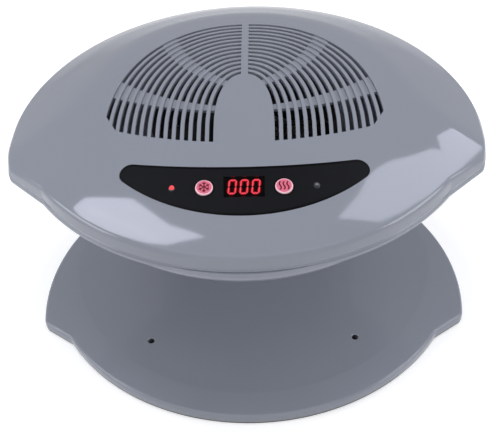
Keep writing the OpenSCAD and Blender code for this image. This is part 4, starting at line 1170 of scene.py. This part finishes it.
# %% Other materials
paint(moulded("polyamide_black_matt", ("#090a0c", "#0e0f11"), 0.6, 0.5, 0.02, strength=0.3),
      "fan_duct", "outlet_grille", "rocker_housing", "power_rocker", "cord_gland", "gland_nut")
paint(moulded("polyamide_grey_matt", ("#0b0c0e", "#121315"), 0.55, 0.5, 0.02, strength=0.3),
      "fan_impeller")
paint(moulded("abs_dark_grey_textured", ("#363940", "#3e4148"), 0.6, 0.7, 0.05, strength=0.6),
      "base_bottom")
# the foot strip's black stands partly for the shadow gap under the plate: painted shade
paint(moulded("rubber_black", ("#171819", "#1f2022"), 0.85, 0.6, 0.05, strength=0.6),
      "rubber_feet", "foot_strip_gap_shade")
paint(moulded("epoxy_glass_green", ("#1a4229", "#265438"), 0.35, 0.3, 0.01),
      "control_board", "power_board", "sensor_boards")
paint(moulded("epoxy_infrared_black", ("#0b0b0f", "#131318"), 0.12, 0.4, 0.003),
      "base_sensors", "head_sensors", "sensor_lens")
paint(moulded("switch_black", ("#1c1e22", "#24262a"), 0.4, 0.4, 0.01), "tact_switches")
paint(moulded("mica_board", ("#4f4736", "#5f5641"), 0.6, 1.5, 0.05, patch_mm=12, strength=0.4),
      "heater_frame")
paint(moulded("lacquered_laminations", ("#302f2c", "#454440"), 0.45, 0.5, 0.02), "transformer")
print("materials so far", len(bpy.data.materials))

# %% [markdown]
# ## Metals
# Zinc-plated steel, oxidised heating wire and pressed aluminium differ in colour and shine,
# but all carry fine lines from turning, drawing or pressing. A noise that is stretched along
# X and Y and stays narrow along Z draws such lines, and both colour and roughness follow it.

# %% Bare metals
def metal(name, spread, rough, line_mm):
    """Metal with lines line_mm apart, its roughness within a fifth of rough."""
    made, tree, shader, place = material(name)
    flat = add(tree, "ShaderNodeMapping", {"Vector": place, "Scale": (0.1, 0.1, 1.0)})
    lines = add(tree, "ShaderNodeTexNoise", {
        "Vector": flat.outputs[0], "Scale": 1000 / line_mm, "Detail": 3.0}).outputs["Fac"]
    low, high = (linear(code) for code in spread)
    tint = add(tree, "ShaderNodeMix", {0: lines, 6: low, 7: high}, data_type="RGBA")
    tree.links.new(tint.outputs[2], shader.inputs["Base Color"])
    haze = add(tree, "ShaderNodeMapRange",
               {"Value": lines, "To Min": rough * 0.8, "To Max": rough * 1.2})
    tree.links.new(haze.outputs["Result"], shader.inputs["Roughness"])
    shader.inputs["Metallic"].default_value = 1.0
    return made


paint(metal("steel_zinc_plated", ("#a9acb0", "#c2c5c9"), 0.3, 0.4),
      "board_screws", "head_screws", "motor_screws", "bracket_screws", "neck_screws",
      "neck_back_screws", "power_board_screws", "base_screws", "column_screws",
      "motor_shaft", "motor_bracket", "fan_motor")
paint(metal("nichrome_oxidised", ("#57504a", "#746a60"), 0.5, 0.5), "heater_coil")
paint(metal("aluminium_pressed", ("#9c9a96", "#b4b2ae"), 0.4, 0.6), "thermal_cutout")
print("materials", len(bpy.data.materials))

# %% [markdown]
# ## Floor
# The object stands on a white sweep that keeps its soft shadow. A floor lit only by lamps
# would grow grey with the distance, so rays from the camera find a glow that rises from the
# shadow's surroundings outwards. Mirrored rays get a weaker one that fades to the rear,
# where the head's edge would otherwise catch too much white at a grazing angle.

# %% Floor
FLOOR_HALF = 3000.0
NEAR_GLOW, FAR_GLOW = 0.38, 0.95


def ray_kinds(tree):
    """Is Camera Ray, and the sum of Is Glossy Ray and Is Transmission Ray."""
    seen = add(tree, "ShaderNodeLightPath").outputs
    mirrored_ray = add(tree, "ShaderNodeMath", {
        0: seen["Is Glossy Ray"], 1: seen["Is Transmission Ray"]}, operation="ADD")
    return seen["Is Camera Ray"], mirrored_ray.outputs[0]


floor = mesh_object("floor", at(FLOOR_HALF * SQUARE, 0.0), [[[0, 1, 2, 3]]])
floor_paint, tree, shader, place = material("floor_white")
shader.inputs["Base Color"].default_value = linear("#e8e8e8")
shader.inputs["Roughness"].default_value = 0.9
shader.inputs["Specular IOR Level"].default_value = 0.0
shader.inputs["Emission Color"].default_value = (1, 1, 1, 1)
camera_ray, mirrored_ray = ray_kinds(tree)
far = add(tree, "ShaderNodeVectorMath", {0: place}, operation="LENGTH")
shown = add(tree, "ShaderNodeMapRange", {
    "Value": far.outputs["Value"], "From Min": 0.6, "From Max": 2.0,
    "To Min": NEAR_GLOW, "To Max": FAR_GLOW}, interpolation_type="SMOOTHSTEP")
rear = add(tree, "ShaderNodeSeparateXYZ", {"Vector": place})
echo = add(tree, "ShaderNodeMapRange", {
    "Value": rear.outputs["Y"], "From Min": 0.15, "From Max": 0.7,
    "To Min": NEAR_GLOW, "To Max": 0.0}, interpolation_type="SMOOTHSTEP")
direct = add(tree, "ShaderNodeMath", {0: camera_ray, 1: shown.outputs["Result"]},
             operation="MULTIPLY")
echo = add(tree, "ShaderNodeMath", {0: mirrored_ray, 1: echo.outputs["Result"]},
           operation="MULTIPLY")
glow = add(tree, "ShaderNodeMath", {0: direct.outputs[0], 1: echo.outputs[0]},
           operation="MAXIMUM")
tree.links.new(glow.outputs[0], shader.inputs["Emission Strength"])
floor.data.materials.append(floor_paint)
print("floor", 2 * FLOOR_HALF / 1000, "m square")

# %% [markdown]
# ## Sky
# An even sky lights the object softly from everywhere. The camera sees it as plain white,
# and in the gloss it is a mid grey that darkens towards the top, as in a studio whose walls
# are brighter than its ceiling.

# %% Sky
SKY_LIGHT, SKY_LOW, SKY_HIGH = 0.56, 0.55, 0.42

world = bpy.data.worlds.new("sky")
bpy.context.scene.world = world
world.use_nodes = True
tree = world.node_tree
tree.nodes.clear()
camera_ray, mirrored_ray = ray_kinds(tree)
way = add(tree, "ShaderNodeTexCoord").outputs["Generated"]
climb = add(tree, "ShaderNodeSeparateXYZ", {"Vector": way})
level = add(tree, "ShaderNodeMapRange", {
    "Value": climb.outputs["Z"], "From Min": 0.1, "From Max": 0.75,
    "To Min": SKY_LOW, "To Max": SKY_HIGH}, interpolation_type="SMOOTHSTEP")
echo = add(tree, "ShaderNodeMix", {0: mirrored_ray, 2: SKY_LIGHT, 3: level.outputs["Result"]})
shown = add(tree, "ShaderNodeMix", {0: camera_ray, 2: echo.outputs[0], 3: 1.0})
sky = add(tree, "ShaderNodeBackground", {"Color": (1, 1, 1, 1), "Strength": shown.outputs[0]})
add(tree, "ShaderNodeOutputWorld", {"Surface": sky.outputs[0]})
print("sky gives", SKY_LIGHT, "as light and", SKY_LOW, "to", SKY_HIGH, "in the gloss")

# %% [markdown]
# ## Soft boxes
# Gloss shows the shape of whatever lights it. Two cloth-fronted soft boxes hang high to the
# left and right, and their outlines are what the shoulders of the head mirror as pale
# patches, so they are drawn as luminous sheets of that outline. Rectangular area lamps do
# the rest: a bright tube inside the left box, a wide one in front, and low fills.

# %% Soft boxes
BOX_Z = 1.3
CLOTH_COLOUR, LAMP_COLOUR = (0.93, 0.95, 1.1, 1.0), (0.94, 0.96, 1.0)
LEFT_CLOTH = [(-0.915, 0.374), (-0.837, 0.408), (-0.555, 0.292), (-0.369, 0.093),
              (-0.201, 0.004), (-0.385, -0.012), (-0.49, 0.021), (-0.669, 0.119),
              (-0.838, 0.262)]
RIGHT_CLOTH = [(0.385, 0.116), (0.492, 0.28), (0.536, 0.39), (0.581, 0.464), (0.673, 0.567),
               (0.813, 0.675), (0.993, 0.848), (1.05, 0.855), (1.037, 1.03), (1.3, 1.4),
               (1.498, 1.216), (1.079, 0.631), (0.923, 0.436), (0.72, 0.236), (0.599, 0.142)]


def light_sheet(name, corners, shine):
    """Cloth front of a soft box: a flat luminous sheet over a plan outline in metres, hung
    out of the camera's sight. It lights the object and shows in its gloss."""
    corners = np.asarray(corners) * 1000 - [0.0, AXIS_Y]
    sheet = mesh_object(name, at(corners, BOX_Z * 1000), [np.arange(len(corners))[None]])
    cloth = bpy.data.materials.new(name + "_cloth")
    cloth.use_nodes = True
    tree = cloth.node_tree
    tree.nodes.clear()
    lit = add(tree, "ShaderNodeEmission", {"Color": CLOTH_COLOUR, "Strength": shine})
    add(tree, "ShaderNodeOutputMaterial", {"Surface": lit.outputs[0]})
    sheet.data.materials.append(cloth)
    sheet.visible_camera = False
    print(name, len(corners), "corners")


def soft_box(name, start, end, width, shine, target=None):
    """Strip lamp from start to end, facing target, or straight down where there is none.
    shine is its radiance, and a lamp of area A gives it from a power of pi A shine."""
    start, end = np.array(start), np.array(end)
    middle = (start + end) / 2
    length = float(np.linalg.norm(end - start))
    lamp = bpy.data.lights.new(name, "AREA")
    lamp.shape = "RECTANGLE"
    lamp.size, lamp.size_y, lamp.energy = length, width, np.pi * length * width * shine
    lamp.color = LAMP_COLOUR
    along = (end - start) / length
    away = np.array([0.0, 0.0, 1.0]) if target is None else middle - np.array(target)
    away = away - along * float(away @ along)
    away = away / np.linalg.norm(away)
    box = bpy.data.objects.new(name, lamp)
    bpy.context.scene.collection.objects.link(box)
    turn = np.stack([along, np.cross(away, along), away, middle], 1)
    box.matrix_world = Matrix([*turn.tolist(), [0, 0, 0, 1]])
    print(name, round(length, 2), "m,", round(lamp.energy, 1), "W")


light_sheet("sheet_left", LEFT_CLOTH, 7.6)
light_sheet("sheet_right", RIGHT_CLOTH, 4.9)
soft_box("box_left_core", (-0.42, 0.015, BOX_Z), (-0.80, 0.31, BOX_Z), 0.03, 6.0)
soft_box("box_front", (-0.7, -0.5, BOX_Z), (0.7, -0.5, BOX_Z), 0.5, 1.15, (0.0, 0.0, 0.1))
soft_box("fill_left", (-1.35, 0.05, 0.75), (-1.35, -0.75, 0.75), 0.6, 4.4, (0.0, -0.1, 0.1))
soft_box("fill_right", (1.35, -0.75, 0.75), (1.35, 0.05, 0.75), 0.6, 4.4, (0.0, -0.1, 0.1))
soft_box("fill_low", (-0.8, -1.5, 0.35), (0.8, -1.5, 0.35), 0.5, 0.5, (0.0, 0.0, 0.08))

# %% [markdown]
# ## Camera
# It looks down on the object from the front, about a metre away, with a long lens. A
# camera's matrix has its right, up and backward directions and its place as columns, and
# the small shift slides the frame without turning the view.

# %% Camera
LENS, SHIFT = 84.9, (-0.0076, 0.0324)
PLACE = np.array([0.0213, -0.6751, 0.7120])
RIGHT, UP = np.array([0.9996, 0.0014, -0.0298]), np.array([0.0206, 0.6910, 0.7226])

camera_data = bpy.data.cameras.new("camera")
camera_data.sensor_fit = "HORIZONTAL"
camera_data.sensor_width = 36.0
camera_data.lens = LENS
camera_data.shift_x, camera_data.shift_y = SHIFT
camera = bpy.data.objects.new("camera", camera_data)
bpy.context.scene.collection.objects.link(camera)
turn = np.stack([RIGHT, UP, np.cross(RIGHT, UP), PLACE], 1)
camera.matrix_world = Matrix([*turn.tolist(), [0, 0, 0, 1]])
bpy.context.scene.camera = camera
bpy.context.scene.view_settings.view_transform = "Standard"
print("camera at", [round(v, 3) for v in camera.location])
